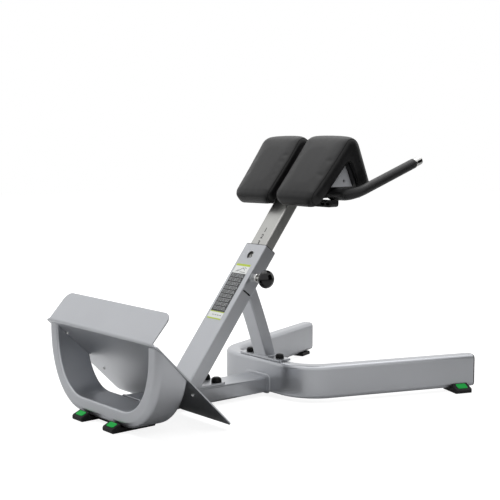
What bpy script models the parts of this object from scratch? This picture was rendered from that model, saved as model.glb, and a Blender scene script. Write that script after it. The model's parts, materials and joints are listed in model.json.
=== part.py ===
"""Hyperextension bench for back extensions, at its real size in metres.

The toe end with the foot plate is at -X, the splayed rear legs and the
handles are at +X, +Z is up. The origin is on the floor, at the middle of
the bounding box. Lengths along the bench are stations: distances from the
front tips of the rubber feet.
"""

import math

import bmesh
import bpy
from mathutils import Matrix, Vector

# Clearances
GAP = 0.0003
OVERALL_LENGTH = 1.2347

# Rubber feet
FOOT_RISE = 0.013
FRONT_FOOT_NOSE = 0.030
REAR_FOOT_NOSE = 0.034
NOSE_LIP = 0.004
NOSE_LIP_HEIGHT = 0.0140
NOSE_SLOPE = 0.4815
FRONT_FOOT_WIDTH = 0.053
FRONT_FOOT_Y = 0.084
FRONT_FOOT_LENGTH = 0.150
REAR_FOOT_WIDTH = 0.058
REAR_FOOT_LENGTH = 0.088
REAR_FOOT_FROM_END = 0.054

# Front hoop: flat-oval tube bent to a U
HOOP_FRONT = 0.031
HOOP_DEPTH = 0.108
HOOP_THICKNESS = 0.050
HOOP_HALF_WIDTH = 0.296
HOOP_BEND_WIDTH = 0.192
HOOP_BEND_HEIGHT = 0.238
HOOP_SQUARENESS = 2.17
HOOP_INNER_CORNER = 0.007
HOOP_FRONT_CORNER = 0.020
HOOP_REAR_CORNER = 0.010
HOOP_WALL = 0.003

# Foot plate: sheet folded at a right angle
FOLD_STATION = 0.0203
FOLD_HEIGHT = 0.277
FOOT_PLATE_LENGTH = 0.3715
FOOT_PLATE_WIDTH = 0.594
HEEL_FLANGE_LENGTH = 0.106
HEEL_FLANGE_WIDTH = 0.554
SHEET = 0.004
FOOT_PLATE_SLOPE = math.radians(44.9)
HEEL_FLANGE_SLOPE = math.radians(47.6)
RAIL_NOTCH_WIDTH = 0.104
MAT_THICKNESS = 0.005

# Main rail
RAIL_WIDTH = 0.094
RAIL_HEIGHT = 0.051
RAIL_CORNER = 0.006
RAIL_WALL = 0.003
FLANGE_THICKNESS = 0.0045
FLANGE_WIDTH = 0.116
FLANGE_HEIGHT = 0.056

# Rear base: one tube bent to a U with splayed legs
LEG_FRONT = 0.632
LEG_WIDTH = 0.050
LEG_HEIGHT = 0.106
LEG_CORNER = 0.013
LEG_WALL = 0.003
LEG_STRAIGHT = 0.110
LEG_BEND = 0.121
LEG_SPLAY = math.radians(19.9)
LEG_END_STATION = 1.2225

# Upright sleeve and sliding post
TILT = math.radians(52.4)
SLEEVE_TOP_STATION = 0.6448
SLEEVE_TOP_HEIGHT = 0.4769
SLEEVE_WIDTH = 0.100
SLEEVE_DEPTH = 0.050
SLEEVE_CORNER = 0.004
SLEEVE_WALL = 0.003
BUSH_LENGTH = 0.060
WINDOW_DROP = 0.040
WINDOW_RADIUS = 0.0138
SLOT_DROP = 0.165
SLOT_LENGTH = 0.034
SLOT_HEIGHT = 0.005
POST_WIDTH = 0.076
POST_DEPTH = 0.038
POST_CORNER = 0.004
POST_WALL = 0.0025
POST_ABOVE = 0.293
POST_BELOW = 0.262
HOLE_PITCH = 0.025
HOLE_COUNT = 10
HOLE_IN_WINDOW = 5

# Base plates and their bolts
BASE_PLATE_FRONT = 0.252
BASE_PLATE_REAR = 0.462
BASE_PLATE_WIDTH = 0.092
BASE_PLATE_THICKNESS = 0.007
SLEEVE_BOLT_STATIONS = (0.276, 0.438)
SLEEVE_BOLT_Y = 0.029
STRUT_PLATE_FRONT = 0.640
STRUT_PLATE_REAR = 0.688
STRUT_PLATE_WIDTH = 0.204
STRUT_PLATE_THICKNESS = 0.006
STRUT_BOLT_Y = 0.073
BOLT_RADIUS = 0.006
SLEEVE_BOLT_CAP = (0.0165, 0.017)
STRUT_BOLT_CAP = (0.0140, 0.0145)

# Rear strut
STRUT_WIDTH = 0.063
STRUT_DEPTH = 0.040
STRUT_CORNER = 0.004
STRUT_WALL = 0.003
STRUT_LEAN = math.radians(72.6)
STRUT_BEND = 2.3
STRUT_STATION = 0.6640

# Pull pin
PIN_DROP = 0.107
PIN_RADIUS = 0.005
PIN_HOLE_RADIUS = 0.0057
BARREL_RADIUS = 0.0105
COLLAR_RADIUS = 0.014
COLLAR_LENGTH = 0.014
KNOB_RADIUS = 0.0290
KNOB_HALF_LENGTH = 0.0200
KNOB_CENTRE = 0.1035
SPRING_TURNS = 3

# Pads, boards and their carrier
PAD_INNER_Y = 0.0165
PAD_OUTER_Y = 0.2105
PAD_TAPER = 0.068
PAD_REAR_TAPER = 0.020
PAD_CORNER = 0.032
PAD_NOSE = 0.030
PAD_FACE_SLOPE = math.radians(51.0)
PAD_REAR_SLOPE = math.radians(65.0)
PAD_CANT = math.radians(1.5)
PAD_APEX_RADIUS = 0.034
BOARD_THICKNESS = 0.005
BOARD_APEX_RADIUS = 0.012
BOARD_INSET = 0.012
FACE_FOOT = (0.6748, 0.6425)
FRONT_PAD_THICKNESS = 0.047
REAR_PAD_THICKNESS = 0.052
FRONT_PAD_LENGTH = 0.2920
REAR_PAD_LENGTH = 0.2380

# Handlebar
BAR_STATION = 0.8250
BAR_HEIGHT = 0.6555
BAR_RADIUS = 0.0125
BAR_WALL = 0.0025
BAR_HALF_WIDTH = 0.245
BAR_BEND = 0.050
GRIP_RADIUS = 0.0165
GRIP_ROOT_RADIUS = 0.0212
GRIP_ROOT_Y = 0.141
GRIP_RISE = math.radians(19.0)
GRIP_END_STATION = 1.1010
GRIP_CAP_LENGTH = 0.034
GRIP_CAP_RADIUS = 0.0148
CROSS_HALF_WIDTH = 0.166
CROSS_BEFORE_BAR = 0.024
CROSS_DEPTH = 0.032
CROSS_HEIGHT = 0.022
GUSSET_Y = 0.169
GUSSET_THICKNESS = 0.006
GUSSET_HOLE_RADIUS = 0.0055
GUSSET_ABOVE_BAR = 0.0225
HEAD_BRACKET_Y = 0.0385
HEAD_BRACKET_THICKNESS = 0.006

Y_AXIS = Vector((0.0, 1.0, 0.0))


# Small helpers for placing and building

def at(station, y, z):
    """World point for a station along the bench."""
    return Vector((station - OVERALL_LENGTH / 2, y, z))


def clear_scene():
    for obj in list(bpy.data.objects):
        bpy.data.objects.remove(obj)


def material(name, colour, roughness, metallic=0.0):
    mat = bpy.data.materials.get(name) or bpy.data.materials.new(name)
    mat.use_nodes = True
    shader = mat.node_tree.nodes["Principled BSDF"]
    shader.inputs["Base Color"].default_value = (*colour, 1.0)
    shader.inputs["Roughness"].default_value = roughness
    shader.inputs["Metallic"].default_value = metallic
    mat.diffuse_color = (*colour, 1.0)
    return mat


def silver_paint():
    return material("silver_paint", (0.42, 0.43, 0.44), 0.42, 0.25)


def plated_steel():
    return material("plated_steel", (0.62, 0.62, 0.61), 0.25, 1.0)


def black_rubber():
    return material("black_rubber", (0.015, 0.015, 0.016), 0.75)


def black_plastic():
    return material("black_plastic", (0.012, 0.012, 0.013), 0.35)


def black_paint():
    return material("black_paint", (0.018, 0.018, 0.02), 0.5)


def green_insert():
    return material("green_insert", (0.02, 0.42, 0.08), 0.45)


def black_vinyl():
    return material("black_vinyl", (0.03, 0.03, 0.032), 0.5)


def finish(name, bm, mat, sharp=math.radians(35)):
    """Turn a bmesh into a named, smoothly shaded object."""
    bmesh.ops.remove_doubles(bm, verts=bm.verts, dist=0.00002)
    bmesh.ops.recalc_face_normals(bm, faces=bm.faces)
    if bm.calc_volume(signed=True) < 0:
        bmesh.ops.reverse_faces(bm, faces=bm.faces)
    mesh = bpy.data.meshes.new(name)
    bm.to_mesh(mesh)
    bm.free()
    mesh.materials.append(mat)
    mesh.shade_smooth()
    mesh.set_sharp_from_angle(angle=sharp)
    obj = bpy.data.objects.new(name, mesh)
    bpy.context.scene.collection.objects.link(obj)
    return obj


def hang_on(obj, parent):
    """Parent an object whose mesh is in world space to an unscaled empty."""
    inverse = parent.matrix_world.inverted()
    obj.data.transform(inverse @ obj.matrix_world)
    obj.matrix_world = Matrix.Identity(4)
    obj.parent = parent
    return obj


def axis_empty(name, point, rotation=(0.0, 0.0, 0.0)):
    empty = bpy.data.objects.new(name, None)
    empty.location = point
    empty.rotation_euler = rotation
    bpy.context.scene.collection.objects.link(empty)
    bpy.context.view_layer.update()
    return empty


def cut(obj, cutter):
    """Cut a shape out of an object and leave the cutter as a guide."""
    cutter.hide_render = True
    cutter.display_type = "WIRE"
    boolean = obj.modifiers.new("cut_" + cutter.name, "BOOLEAN")
    boolean.operation = "DIFFERENCE"
    boolean.solver = "EXACT"
    boolean.object = cutter


# Outlines and lofts

def rounded_outline(width, depth, radius, steps=3):
    """Points of a rectangle with round corners, counter-clockwise."""
    points = []
    corners = ((1, 1, 0.0), (-1, 1, 90.0), (-1, -1, 180.0), (1, -1, 270.0))
    for sx, sy, start in corners:
        cx = sx * (width / 2 - radius)
        cy = sy * (depth / 2 - radius)
        for i in range(steps + 1):
            turn = math.radians(start + 90.0 * i / steps)
            points.append((cx + radius * math.cos(turn), cy + radius * math.sin(turn)))
    return points


def circle_outline(radius, sides):
    turns = [2 * math.pi * i / sides for i in range(sides)]
    return [(radius * math.cos(t), radius * math.sin(t)) for t in turns]


def add_ring(bm, points):
    return [bm.verts.new(p) for p in points]


def skin(bm, rings, closed=False):
    """Quads between successive rings of equal length."""
    pairs = list(zip(rings, rings[1:]))
    if closed:
        pairs.append((rings[-1], rings[0]))
    for lower, upper in pairs:
        count = len(lower)
        for i in range(count):
            j = (i + 1) % count
            bm.faces.new((lower[i], lower[j], upper[j], upper[i]))


def loft(bm, sections):
    """Closed body through solid sections."""
    rings = [add_ring(bm, section) for section in sections]
    skin(bm, rings)
    bm.faces.new(list(reversed(rings[0])))
    bm.faces.new(rings[-1])


def pipe(bm, outer_sections, inner_sections):
    """Open-ended tube: an outer and an inner skin joined at both ends."""
    outer = [add_ring(bm, s) for s in outer_sections]
    inner = [add_ring(bm, s) for s in inner_sections]
    skin(bm, outer + inner[::-1], closed=True)


def carry(path, side, outline, start_plane=None, end_plane=None):
    """Sections of an outline carried along a path.

    side is the direction of the outline's first coordinate at the start.
    The end sections can be laid on a plane, given as (point, normal).
    """
    legs = [(b - a).normalized() for a, b in zip(path, path[1:])]
    tangents = [legs[0]]
    for arriving, leaving in zip(legs, legs[1:]):
        tangents.append((arriving + leaving).normalized())
    tangents.append(legs[-1])
    sections = []
    across = side.normalized()
    for i, (point, tangent) in enumerate(zip(path, tangents)):
        across = (across - tangent * across.dot(tangent)).normalized()
        up = tangent.cross(across)
        scale = 1.0
        bend = Vector((0.0, 0.0, 0.0))
        if 0 < i < len(path) - 1:
            scale = 1.0 / max(legs[i].dot(tangent), 0.5)
            turn = legs[i] - legs[i - 1]
            if turn.length > 1e-6:
                bend = turn.normalized()
        section = []
        for u, v in outline:
            offset = across * u + up * v
            offset += bend * offset.dot(bend) * (scale - 1.0)
            section.append(point + offset)
        sections.append(section)
    if start_plane:
        sections[0] = slide_to_plane(sections[0], tangents[0], *start_plane)
    if end_plane:
        sections[-1] = slide_to_plane(sections[-1], tangents[-1], *end_plane)
    return sections


def slide_to_plane(section, direction, point, normal):
    moved = []
    for p in section:
        distance = (point - p).dot(normal) / direction.dot(normal)
        moved.append(p + direction * distance)
    return moved


def bent_path(corners, radius, steps):
    """Polyline through corners, with each inner corner rounded to an arc."""
    path = [corners[0]]
    for before, corner, after in zip(corners, corners[1:], corners[2:]):
        d0 = (before - corner).normalized()
        d1 = (after - corner).normalized()
        half = d0.angle(d1) / 2
        reach = radius / math.tan(half)
        centre = corner + (d0 + d1).normalized() * (radius / math.sin(half))
        arm = corner + d0 * reach - centre
        axis = d1.cross(d0).normalized()
        sweep = math.pi - 2 * half
        for i in range(steps + 1):
            turn = Matrix.Rotation(sweep * i / steps, 3, axis)
            path.append(centre + turn @ arm)
    path.append(corners[-1])
    return path


def revolve(bm, profile, axis_point, axis, sides):
    """Closed turned body from (radius, distance) pairs that touch the axis."""
    axis = axis.normalized()
    side = axis.orthogonal().normalized()
    other = axis.cross(side)
    rings = []
    for radius, distance in profile:
        centre = axis_point + axis * distance
        if radius < 1e-7:
            rings.append([bm.verts.new(centre)])
            continue
        ring = []
        for i in range(sides):
            turn = 2 * math.pi * i / sides
            ring.append(bm.verts.new(centre + (side * math.cos(turn) + other * math.sin(turn)) * radius))
        rings.append(ring)
    return rings


def skin_turned(bm, rings, closed=False):
    pairs = list(zip(rings, rings[1:]))
    if closed:
        pairs.append((rings[-1], rings[0]))
    for lower, upper in pairs:
        count = max(len(lower), len(upper))
        for i in range(count):
            j = (i + 1) % count
            if len(lower) == 1:
                bm.faces.new((lower[0], upper[j], upper[i]))
            elif len(upper) == 1:
                bm.faces.new((lower[i], lower[j], upper[0]))
            else:
                bm.faces.new((lower[i], lower[j], upper[j], upper[i]))


def turned(name, profile, axis_point, axis, sides, mat, ring=False):
    """Turned object; with ring set the profile is a closed loop off the axis."""
    bm = bmesh.new()
    rings = revolve(bm, profile, axis_point, axis, sides)
    skin_turned(bm, rings, closed=ring)
    return finish(name, bm, mat)


def plate(name, outline, origin, u_axis, v_axis, thickness, mat):
    """Flat plate: a closed outline in a plane, given a thickness."""
    bm = bmesh.new()
    normal = u_axis.cross(v_axis).normalized()
    low = [origin + u_axis * u + v_axis * v for u, v in outline]
    high = [p + normal * thickness for p in low]
    loft(bm, [low, high])
    return finish(name, bm, mat)


def arc(cx, cy, radius, start, end, steps):
    """Points on an arc, angles in degrees."""
    points = []
    for i in range(steps + 1):
        turn = math.radians(start + (end - start) * i / steps)
        points.append((cx + radius * math.cos(turn), cy + radius * math.sin(turn)))
    return points


# Directions shared by several pieces

UP_POST = Vector((math.cos(TILT), 0.0, math.sin(TILT)))
POST_REARWARD = Vector((math.sin(TILT), 0.0, -math.cos(TILT)))
SLEEVE_TOP = at(SLEEVE_TOP_STATION, 0.0, SLEEVE_TOP_HEIGHT)
RAIL_TOP = FOOT_RISE + RAIL_HEIGHT
BASE_PLATE_TOP = RAIL_TOP + GAP + BASE_PLATE_THICKNESS
LEG_TOP = FOOT_RISE + LEG_HEIGHT
STRUT_PLATE_TOP = LEG_TOP + GAP + STRUT_PLATE_THICKNESS
DOWN_PLATE = Vector((math.cos(FOOT_PLATE_SLOPE), 0.0, -math.sin(FOOT_PLATE_SLOPE)))
PLATE_UNDERSIDE = Vector((-math.sin(FOOT_PLATE_SLOPE), 0.0, -math.cos(FOOT_PLATE_SLOPE)))
UP_FLANGE = Vector((math.cos(HEEL_FLANGE_SLOPE), 0.0, math.sin(HEEL_FLANGE_SLOPE)))


def on_post(rearward, y, along):
    """Point given from the middle of the sleeve's mouth, in the post's own directions."""
    return SLEEVE_TOP + POST_REARWARD * rearward + Y_AXIS * y + UP_POST * along


# Base frame

def hoop_path():
    """Centre line of the hoop: flat bottom, oval bends, upright arms."""
    station = HOOP_FRONT + HOOP_DEPTH / 2
    power = 2 / HOOP_SQUARENESS
    right = [(HOOP_HALF_WIDTH - HOOP_THICKNESS / 2, FOLD_HEIGHT)]
    for i in range(13):
        turn = math.radians(90.0 * i / 12)
        c, d = math.cos(turn), math.sin(turn)
        y = HOOP_HALF_WIDTH - HOOP_BEND_WIDTH * (1 - abs(c) ** power)
        z = FOOT_RISE + HOOP_BEND_HEIGHT * (1 - abs(d) ** power)
        # inward normal of the oval
        ny = -(abs(c) ** (2 - power)) / HOOP_BEND_WIDTH
        nz = abs(d) ** (2 - power) / HOOP_BEND_HEIGHT
        size = math.hypot(ny, nz)
        half = HOOP_THICKNESS / 2
        right.append((y + ny / size * half, z + nz / size * half))
    outline = [(-y, z) for y, z in right] + list(reversed(right))
    return [at(station, -y, z) for y, z in outline]


def hoop_section(inset):
    """Section of the hoop's tube, which is roundest at its outer front edge."""
    deep = HOOP_DEPTH / 2 - inset
    thick = HOOP_THICKNESS / 2 - inset
    inner = HOOP_INNER_CORNER - inset
    front = HOOP_FRONT_CORNER - inset
    rear = HOOP_REAR_CORNER - inset
    points = arc(deep - inner, thick - inner, inner, 0, 90, 3)
    points += arc(inner - deep, thick - inner, inner, 90, 180, 3)
    points += arc(front - deep, front - thick, front, 180, 270, 5)
    points += arc(deep - rear, rear - thick, rear, 270, 360, 3)
    return points


def front_hoop():
    """Flat-oval tube, bent to a U, with its arms cut off under the foot plate."""
    path = hoop_path()
    side = Vector((1.0, 0.0, 0.0))
    bm = bmesh.new()
    pipe(bm, carry(path, side, hoop_section(0.0)), carry(path, side, hoop_section(HOOP_WALL)))
    obj = finish("front_hoop", bm, silver_paint())
    under = at(FOLD_STATION, 0.0, FOLD_HEIGHT) + PLATE_UNDERSIDE * GAP
    outline = [(-0.1, -0.4), (0.3, -0.4), (0.3, 0.4), (-0.1, 0.4)]
    cut(obj, plate("hoop_end_cut", outline, under, DOWN_PLATE, Y_AXIS, 0.2, silver_paint()))
    return obj


def foot_plate():
    """Sheet folded at the toe: standing plate below, heel flange above."""
    fold = at(FOLD_STATION, 0.0, FOLD_HEIGHT)
    rise = SHEET / 2
    narrow = HEEL_FLANGE_WIDTH / 2
    wide = FOOT_PLATE_WIDTH / 2
    stations = []
    # heel flange, from its free edge down to the fold
    corner = 0.030
    for x, y in arc(corner, 0.0, corner, 180, 90, 5):
        stations.append((fold + UP_FLANGE * (HEEL_FLANGE_LENGTH - x), UP_FLANGE, narrow - corner + y))
    stations.append((fold + UP_FLANGE * 0.020, UP_FLANGE, narrow))
    stations.append((fold + UP_FLANGE * 0.011, UP_FLANGE, narrow + 0.002))
    # fold, on a small arc, then the standing plate
    stations.append((fold + UP_FLANGE * 0.005, UP_FLANGE, narrow + 0.006))
    stations.append((fold + DOWN_PLATE * 0.005, -DOWN_PLATE, wide - 0.006))
    stations.append((fold + DOWN_PLATE * 0.011, -DOWN_PLATE, wide))
    tip = 0.014
    for x, y in arc(-tip, 0.0, tip, 90, 0, 4):
        stations.append((fold + DOWN_PLATE * (FOOT_PLATE_LENGTH + x), -DOWN_PLATE, wide - tip + y))
    sections = []
    for point, towards_flange, half in stations:
        outward = towards_flange.cross(Y_AXIS).normalized() * rise
        core = point - outward
        sections.append([core + outward + Y_AXIS * half, core + outward - Y_AXIS * half,
                         core - outward - Y_AXIS * half, core - outward + Y_AXIS * half])
    bm = bmesh.new()
    loft(bm, sections)
    obj = finish("foot_plate", bm, silver_paint())
    notch_top = RAIL_TOP + 0.006
    radius = 0.012
    half = RAIL_NOTCH_WIDTH / 2
    outline = [(-half, 0.0), (half, 0.0)]
    outline += arc(half - radius, notch_top - radius, radius, 0, 90, 4)
    outline += arc(-half + radius, notch_top - radius, radius, 90, 180, 4)
    bm = bmesh.new()
    low = [at(0.20, -u, v - 0.001) for u, v in outline]
    high = [at(0.34, -u, v - 0.001) for u, v in outline]
    loft(bm, [low, high])
    cut(obj, finish("rail_notch", bm, silver_paint()))
    return obj


def foot_mat():
    """Rubber mat on the side that the feet stand on, with ribs across it."""
    top = at(FOLD_STATION, 0.0, FOLD_HEIGHT) - PLATE_UNDERSIDE * (SHEET + GAP)
    start, end = 0.040, 0.262
    half, corner = 0.262, 0.020
    outline = arc(start + corner, -half + corner, corner, 270, 180, 4)
    outline += arc(start + corner, half - corner, corner, 180, 90, 4)
    outline += arc(end - corner, half - corner, corner, 90, 0, 4)
    outline += arc(end - corner, -half + corner, corner, 0, -90, 4)
    low = [top + DOWN_PLATE * u + Y_AXIS * v for u, v in outline]
    high = [p - PLATE_UNDERSIDE * MAT_THICKNESS for p in low]
    bm = bmesh.new()
    loft(bm, [low, high])
    return finish("foot_mat", bm, black_rubber())


def main_rail():
    start = at(HOOP_FRONT + HOOP_DEPTH + GAP, 0.0, FOOT_RISE + RAIL_HEIGHT / 2)
    end = at(LEG_FRONT - FLANGE_THICKNESS - 2 * GAP, 0.0, FOOT_RISE + RAIL_HEIGHT / 2)
    outer = rounded_outline(RAIL_WIDTH, RAIL_HEIGHT, RAIL_CORNER)
    inner = rounded_outline(RAIL_WIDTH - 2 * RAIL_WALL, RAIL_HEIGHT - 2 * RAIL_WALL,
                            RAIL_CORNER - RAIL_WALL)
    bm = bmesh.new()
    pipe(bm, carry([start, end], Y_AXIS, outer), carry([start, end], Y_AXIS, inner))
    return finish("main_rail", bm, silver_paint())


def rail_flange():
    outline = rounded_outline(FLANGE_WIDTH, FLANGE_HEIGHT, 0.012, 4)
    origin = at(LEG_FRONT - FLANGE_THICKNESS - GAP, 0.0, FOOT_RISE + FLANGE_HEIGHT / 2)
    return plate("rail_flange", outline, origin, Y_AXIS, Vector((0, 0, 1)),
                 FLANGE_THICKNESS, silver_paint())


def leg_corners():
    """Corner points of the centre line of the rear base, in plan."""
    front = LEG_FRONT + LEG_WIDTH / 2
    z = FOOT_RISE + LEG_HEIGHT / 2
    corner_y = LEG_STRAIGHT + LEG_BEND * math.tan((math.pi / 2 - LEG_SPLAY) / 2)
    end_y = corner_y + (LEG_END_STATION - front) * math.tan(LEG_SPLAY)
    return [at(LEG_END_STATION, end_y, z), at(front, corner_y, z),
            at(front, -corner_y, z), at(LEG_END_STATION, -end_y, z)]


def rear_legs():
    """Tube bent to a U; the middle lies across the bench, the legs splay."""
    path = bent_path(leg_corners(), LEG_BEND, 8)
    outer = rounded_outline(LEG_WIDTH, LEG_HEIGHT, LEG_CORNER)
    inner = rounded_outline(LEG_WIDTH - 2 * LEG_WALL, LEG_HEIGHT - 2 * LEG_WALL,
                            LEG_CORNER - LEG_WALL)
    side = Y_AXIS
    bm = bmesh.new()
    pipe(bm, carry(path, side, outer), carry(path, side, inner))
    return finish("rear_legs", bm, silver_paint())


def leg_direction(side):
    return Vector((math.cos(LEG_SPLAY), side * math.sin(LEG_SPLAY), 0.0))


def leg_cap(name, side):
    """Plastic plug: a rounded lid with a core that enters the tube."""
    end = leg_corners()[0 if side > 0 else 3]
    along = leg_direction(side)
    across = Vector((-along.y, along.x, 0.0))
    profile = ((-0.018, -0.0068, -0.0065), (GAP, -0.0068, -0.0065),
               (GAP, 0.0, 0.0), (0.0025, 0.0, 0.0), (0.0045, -0.003, -0.002))
    sections = []
    for distance, grow, round_grow in profile:
        outline = rounded_outline(LEG_WIDTH + grow, LEG_HEIGHT + grow,
                                  LEG_CORNER + round_grow / 2)
        centre = end + along * distance
        sections.append([centre + across * u + Vector((0, 0, v)) for u, v in outline])
    bm = bmesh.new()
    loft(bm, sections)
    return finish(name, bm, black_plastic())


# Rubber feet

def nose_height(nose):
    """Height of a sloping nose where it meets the tube."""
    return NOSE_LIP_HEIGHT + (nose - 0.003 - NOSE_LIP) * NOSE_SLOPE


def foot_outline(length, nose):
    """Side view of a foot: a raised, sloping nose, then a flat bed under the tube."""
    bed = FOOT_RISE - GAP
    top = nose_height(nose)
    return [(0.003, 0.0), (length - 0.003, 0.0), (length, 0.003), (length - 0.003, bed),
            (nose, bed), (nose - 0.001, top - 0.001), (nose - 0.003, top),
            (NOSE_LIP, NOSE_LIP_HEIGHT), (0.0, 0.011), (0.0, 0.003)]


def foot(name, tip, inward, length, width, nose):
    """Rubber foot from its nose tip, lying along the inward direction."""
    across = Vector((-inward.y, inward.x, 0.0))
    up = Vector((0, 0, 1))
    bm = bmesh.new()
    sections = []
    for y, shrink in ((-0.5, 0.002), (-0.46, 0.0), (0.46, 0.0), (0.5, 0.002)):
        section = []
        for x, z in foot_outline(length, nose):
            x = min(max(x, shrink), length - shrink)
            z = min(z, nose_height(nose) - shrink)
            section.append(tip + inward * x + up * z + across * (y * width))
        sections.append(section)
    loft(bm, sections)
    obj = finish(name, bm, black_rubber())
    pocket = insert_body("pocket_" + name, tip, inward, nose, GAP)
    cut(obj, pocket)
    return obj


def insert_body(name, tip, inward, nose, grow):
    """Coloured insert let into the sloping top of a foot's nose."""
    across = Vector((-inward.y, inward.x, 0.0))
    start = tip + inward * 0.0070 + Vector((0, 0, 0.0155))
    end = tip + inward * (nose - 0.0055) + Vector((0, 0, nose_height(nose) - 0.0016))
    slope = (end - start).normalized()
    normal = slope.cross(across)
    if normal.z < 0:
        normal = -normal
    length = (end - start).length
    outline = rounded_outline(length + 2 * grow, 0.036 + 2 * grow, 0.005 + grow, 3)
    middle = (start + end) / 2
    low = [middle + slope * u + across * v - normal * (0.003 + grow) for u, v in outline]
    high = [middle + slope * u + across * v + normal * (0.0012 if not grow else 0.004)
            for u, v in outline]
    bm = bmesh.new()
    loft(bm, [low, high])
    return finish(name, bm, green_insert())


def rubber_feet():
    pieces = []
    for side, word in ((1, "left"), (-1, "right")):
        tip = at(0.0, side * FRONT_FOOT_Y, 0.0)
        inward = Vector((1.0, 0.0, 0.0))
        pieces.append(foot("front_foot_" + word, tip, inward, FRONT_FOOT_LENGTH,
                           FRONT_FOOT_WIDTH, FRONT_FOOT_NOSE))
        pieces.append(insert_body("front_foot_insert_" + word, tip, inward,
                                  FRONT_FOOT_NOSE, 0.0))
        end = leg_corners()[0 if side > 0 else 3]
        along = leg_direction(side)
        inward = Vector((side * along.y, -side * along.x, 0.0))
        tip = end - along * REAR_FOOT_FROM_END - inward * (LEG_WIDTH / 2 + REAR_FOOT_NOSE)
        tip.z = 0.0
        pieces.append(foot("rear_foot_" + word, tip, inward, REAR_FOOT_LENGTH,
                           REAR_FOOT_WIDTH, REAR_FOOT_NOSE))
        pieces.append(insert_body("rear_foot_insert_" + word, tip, inward,
                                  REAR_FOOT_NOSE, 0.0))
    return pieces


def hoop_rubber_strip():
    """Thin strip under the flat part of the hoop, between its two feet."""
    half = FRONT_FOOT_Y - FRONT_FOOT_WIDTH / 2 - GAP
    outline = [(-half, 0.0), (half, 0.0), (half, 0.008), (-half, 0.008)]
    start = at(HOOP_FRONT + HOOP_FRONT_CORNER, 0.0, FOOT_RISE - GAP - 0.008)
    length = HOOP_DEPTH - HOOP_FRONT_CORNER - HOOP_REAR_CORNER
    low = [start + Y_AXIS * u + Vector((0, 0, v)) for u, v in outline]
    high = [p + Vector((length, 0, 0)) for p in low]
    bm = bmesh.new()
    loft(bm, [low, high])
    return finish("hoop_rubber_strip", bm, black_rubber())


# Upright sleeve, strut and their base plates

def floor_plane(height):
    return (Vector((0.0, 0.0, height)), Vector((0.0, 0.0, 1.0)))


def upright_sleeve():
    outer = rounded_outline(SLEEVE_DEPTH, SLEEVE_WIDTH, SLEEVE_CORNER)
    inner = rounded_outline(SLEEVE_DEPTH - 2 * SLEEVE_WALL, SLEEVE_WIDTH - 2 * SLEEVE_WALL,
                            SLEEVE_CORNER - SLEEVE_WALL)
    path = [SLEEVE_TOP, SLEEVE_TOP - UP_POST * 0.45]
    foot_cut = floor_plane(BASE_PLATE_TOP + GAP)
    bm = bmesh.new()
    pipe(bm, carry(path, POST_REARWARD, outer, None, foot_cut),
         carry(path, POST_REARWARD, inner, None, foot_cut))
    obj = finish("upright_sleeve", bm, silver_paint())
    cut(obj, round_cutter("window_cut", on_post(-SLEEVE_DEPTH / 2 - 0.01, 0.0, -WINDOW_DROP),
                          POST_REARWARD, WINDOW_RADIUS, 0.020, 28))
    cut(obj, round_cutter("barrel_cut", on_post(0.0, -SLEEVE_WIDTH / 2 + 0.01, -PIN_DROP),
                          -Y_AXIS, BARREL_RADIUS + GAP, 0.030, 24))
    outline = rounded_outline(SLOT_LENGTH, SLOT_HEIGHT, SLOT_HEIGHT / 2 - 0.0002, 4)
    middle = on_post(0.0, -SLEEVE_WIDTH / 2 - 0.01, -SLOT_DROP)
    low = [middle + POST_REARWARD * u + UP_POST * v for u, v in outline]
    high = [p + Y_AXIS * 0.020 for p in low]
    bm = bmesh.new()
    loft(bm, [low, high])
    cut(obj, finish("slot_cut", bm, silver_paint()))
    return obj


def round_cutter(name, start, direction, radius, length, sides):
    profile = [(0.0, 0.0), (radius, 0.0), (radius, length), (0.0, length)]
    return turned(name, profile, start, direction, sides, black_plastic())


def sleeve_bush():
    """Plastic guide at the sleeve's mouth, with a thin lip on top."""
    liner_depth = SLEEVE_DEPTH - 2 * SLEEVE_WALL - 2 * GAP
    liner_width = SLEEVE_WIDTH - 2 * SLEEVE_WALL - 2 * GAP
    bore = rounded_outline(POST_DEPTH + 4 * GAP, POST_WIDTH + 4 * GAP, POST_CORNER)
    lip = rounded_outline(SLEEVE_DEPTH - 0.0016, SLEEVE_WIDTH - 0.0016, SLEEVE_CORNER)
    liner = rounded_outline(liner_depth, liner_width, SLEEVE_CORNER - SLEEVE_WALL)

    def ring(outline, along):
        return [on_post(u, v, along) for u, v in outline]

    bm = bmesh.new()
    rings = [ring(liner, -BUSH_LENGTH), ring(liner, GAP), ring(lip, GAP), ring(lip, 0.0022),
             ring(bore, 0.0022), ring(bore, -BUSH_LENGTH)]
    skin(bm, [add_ring(bm, r) for r in rings], closed=True)
    obj = finish("sleeve_bush", bm, black_plastic())
    cut(obj, round_cutter("bush_window_cut", on_post(-SLEEVE_DEPTH / 2, 0.0, -WINDOW_DROP),
                          POST_REARWARD, WINDOW_RADIUS + 0.002, 0.0075, 28))
    return obj


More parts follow.
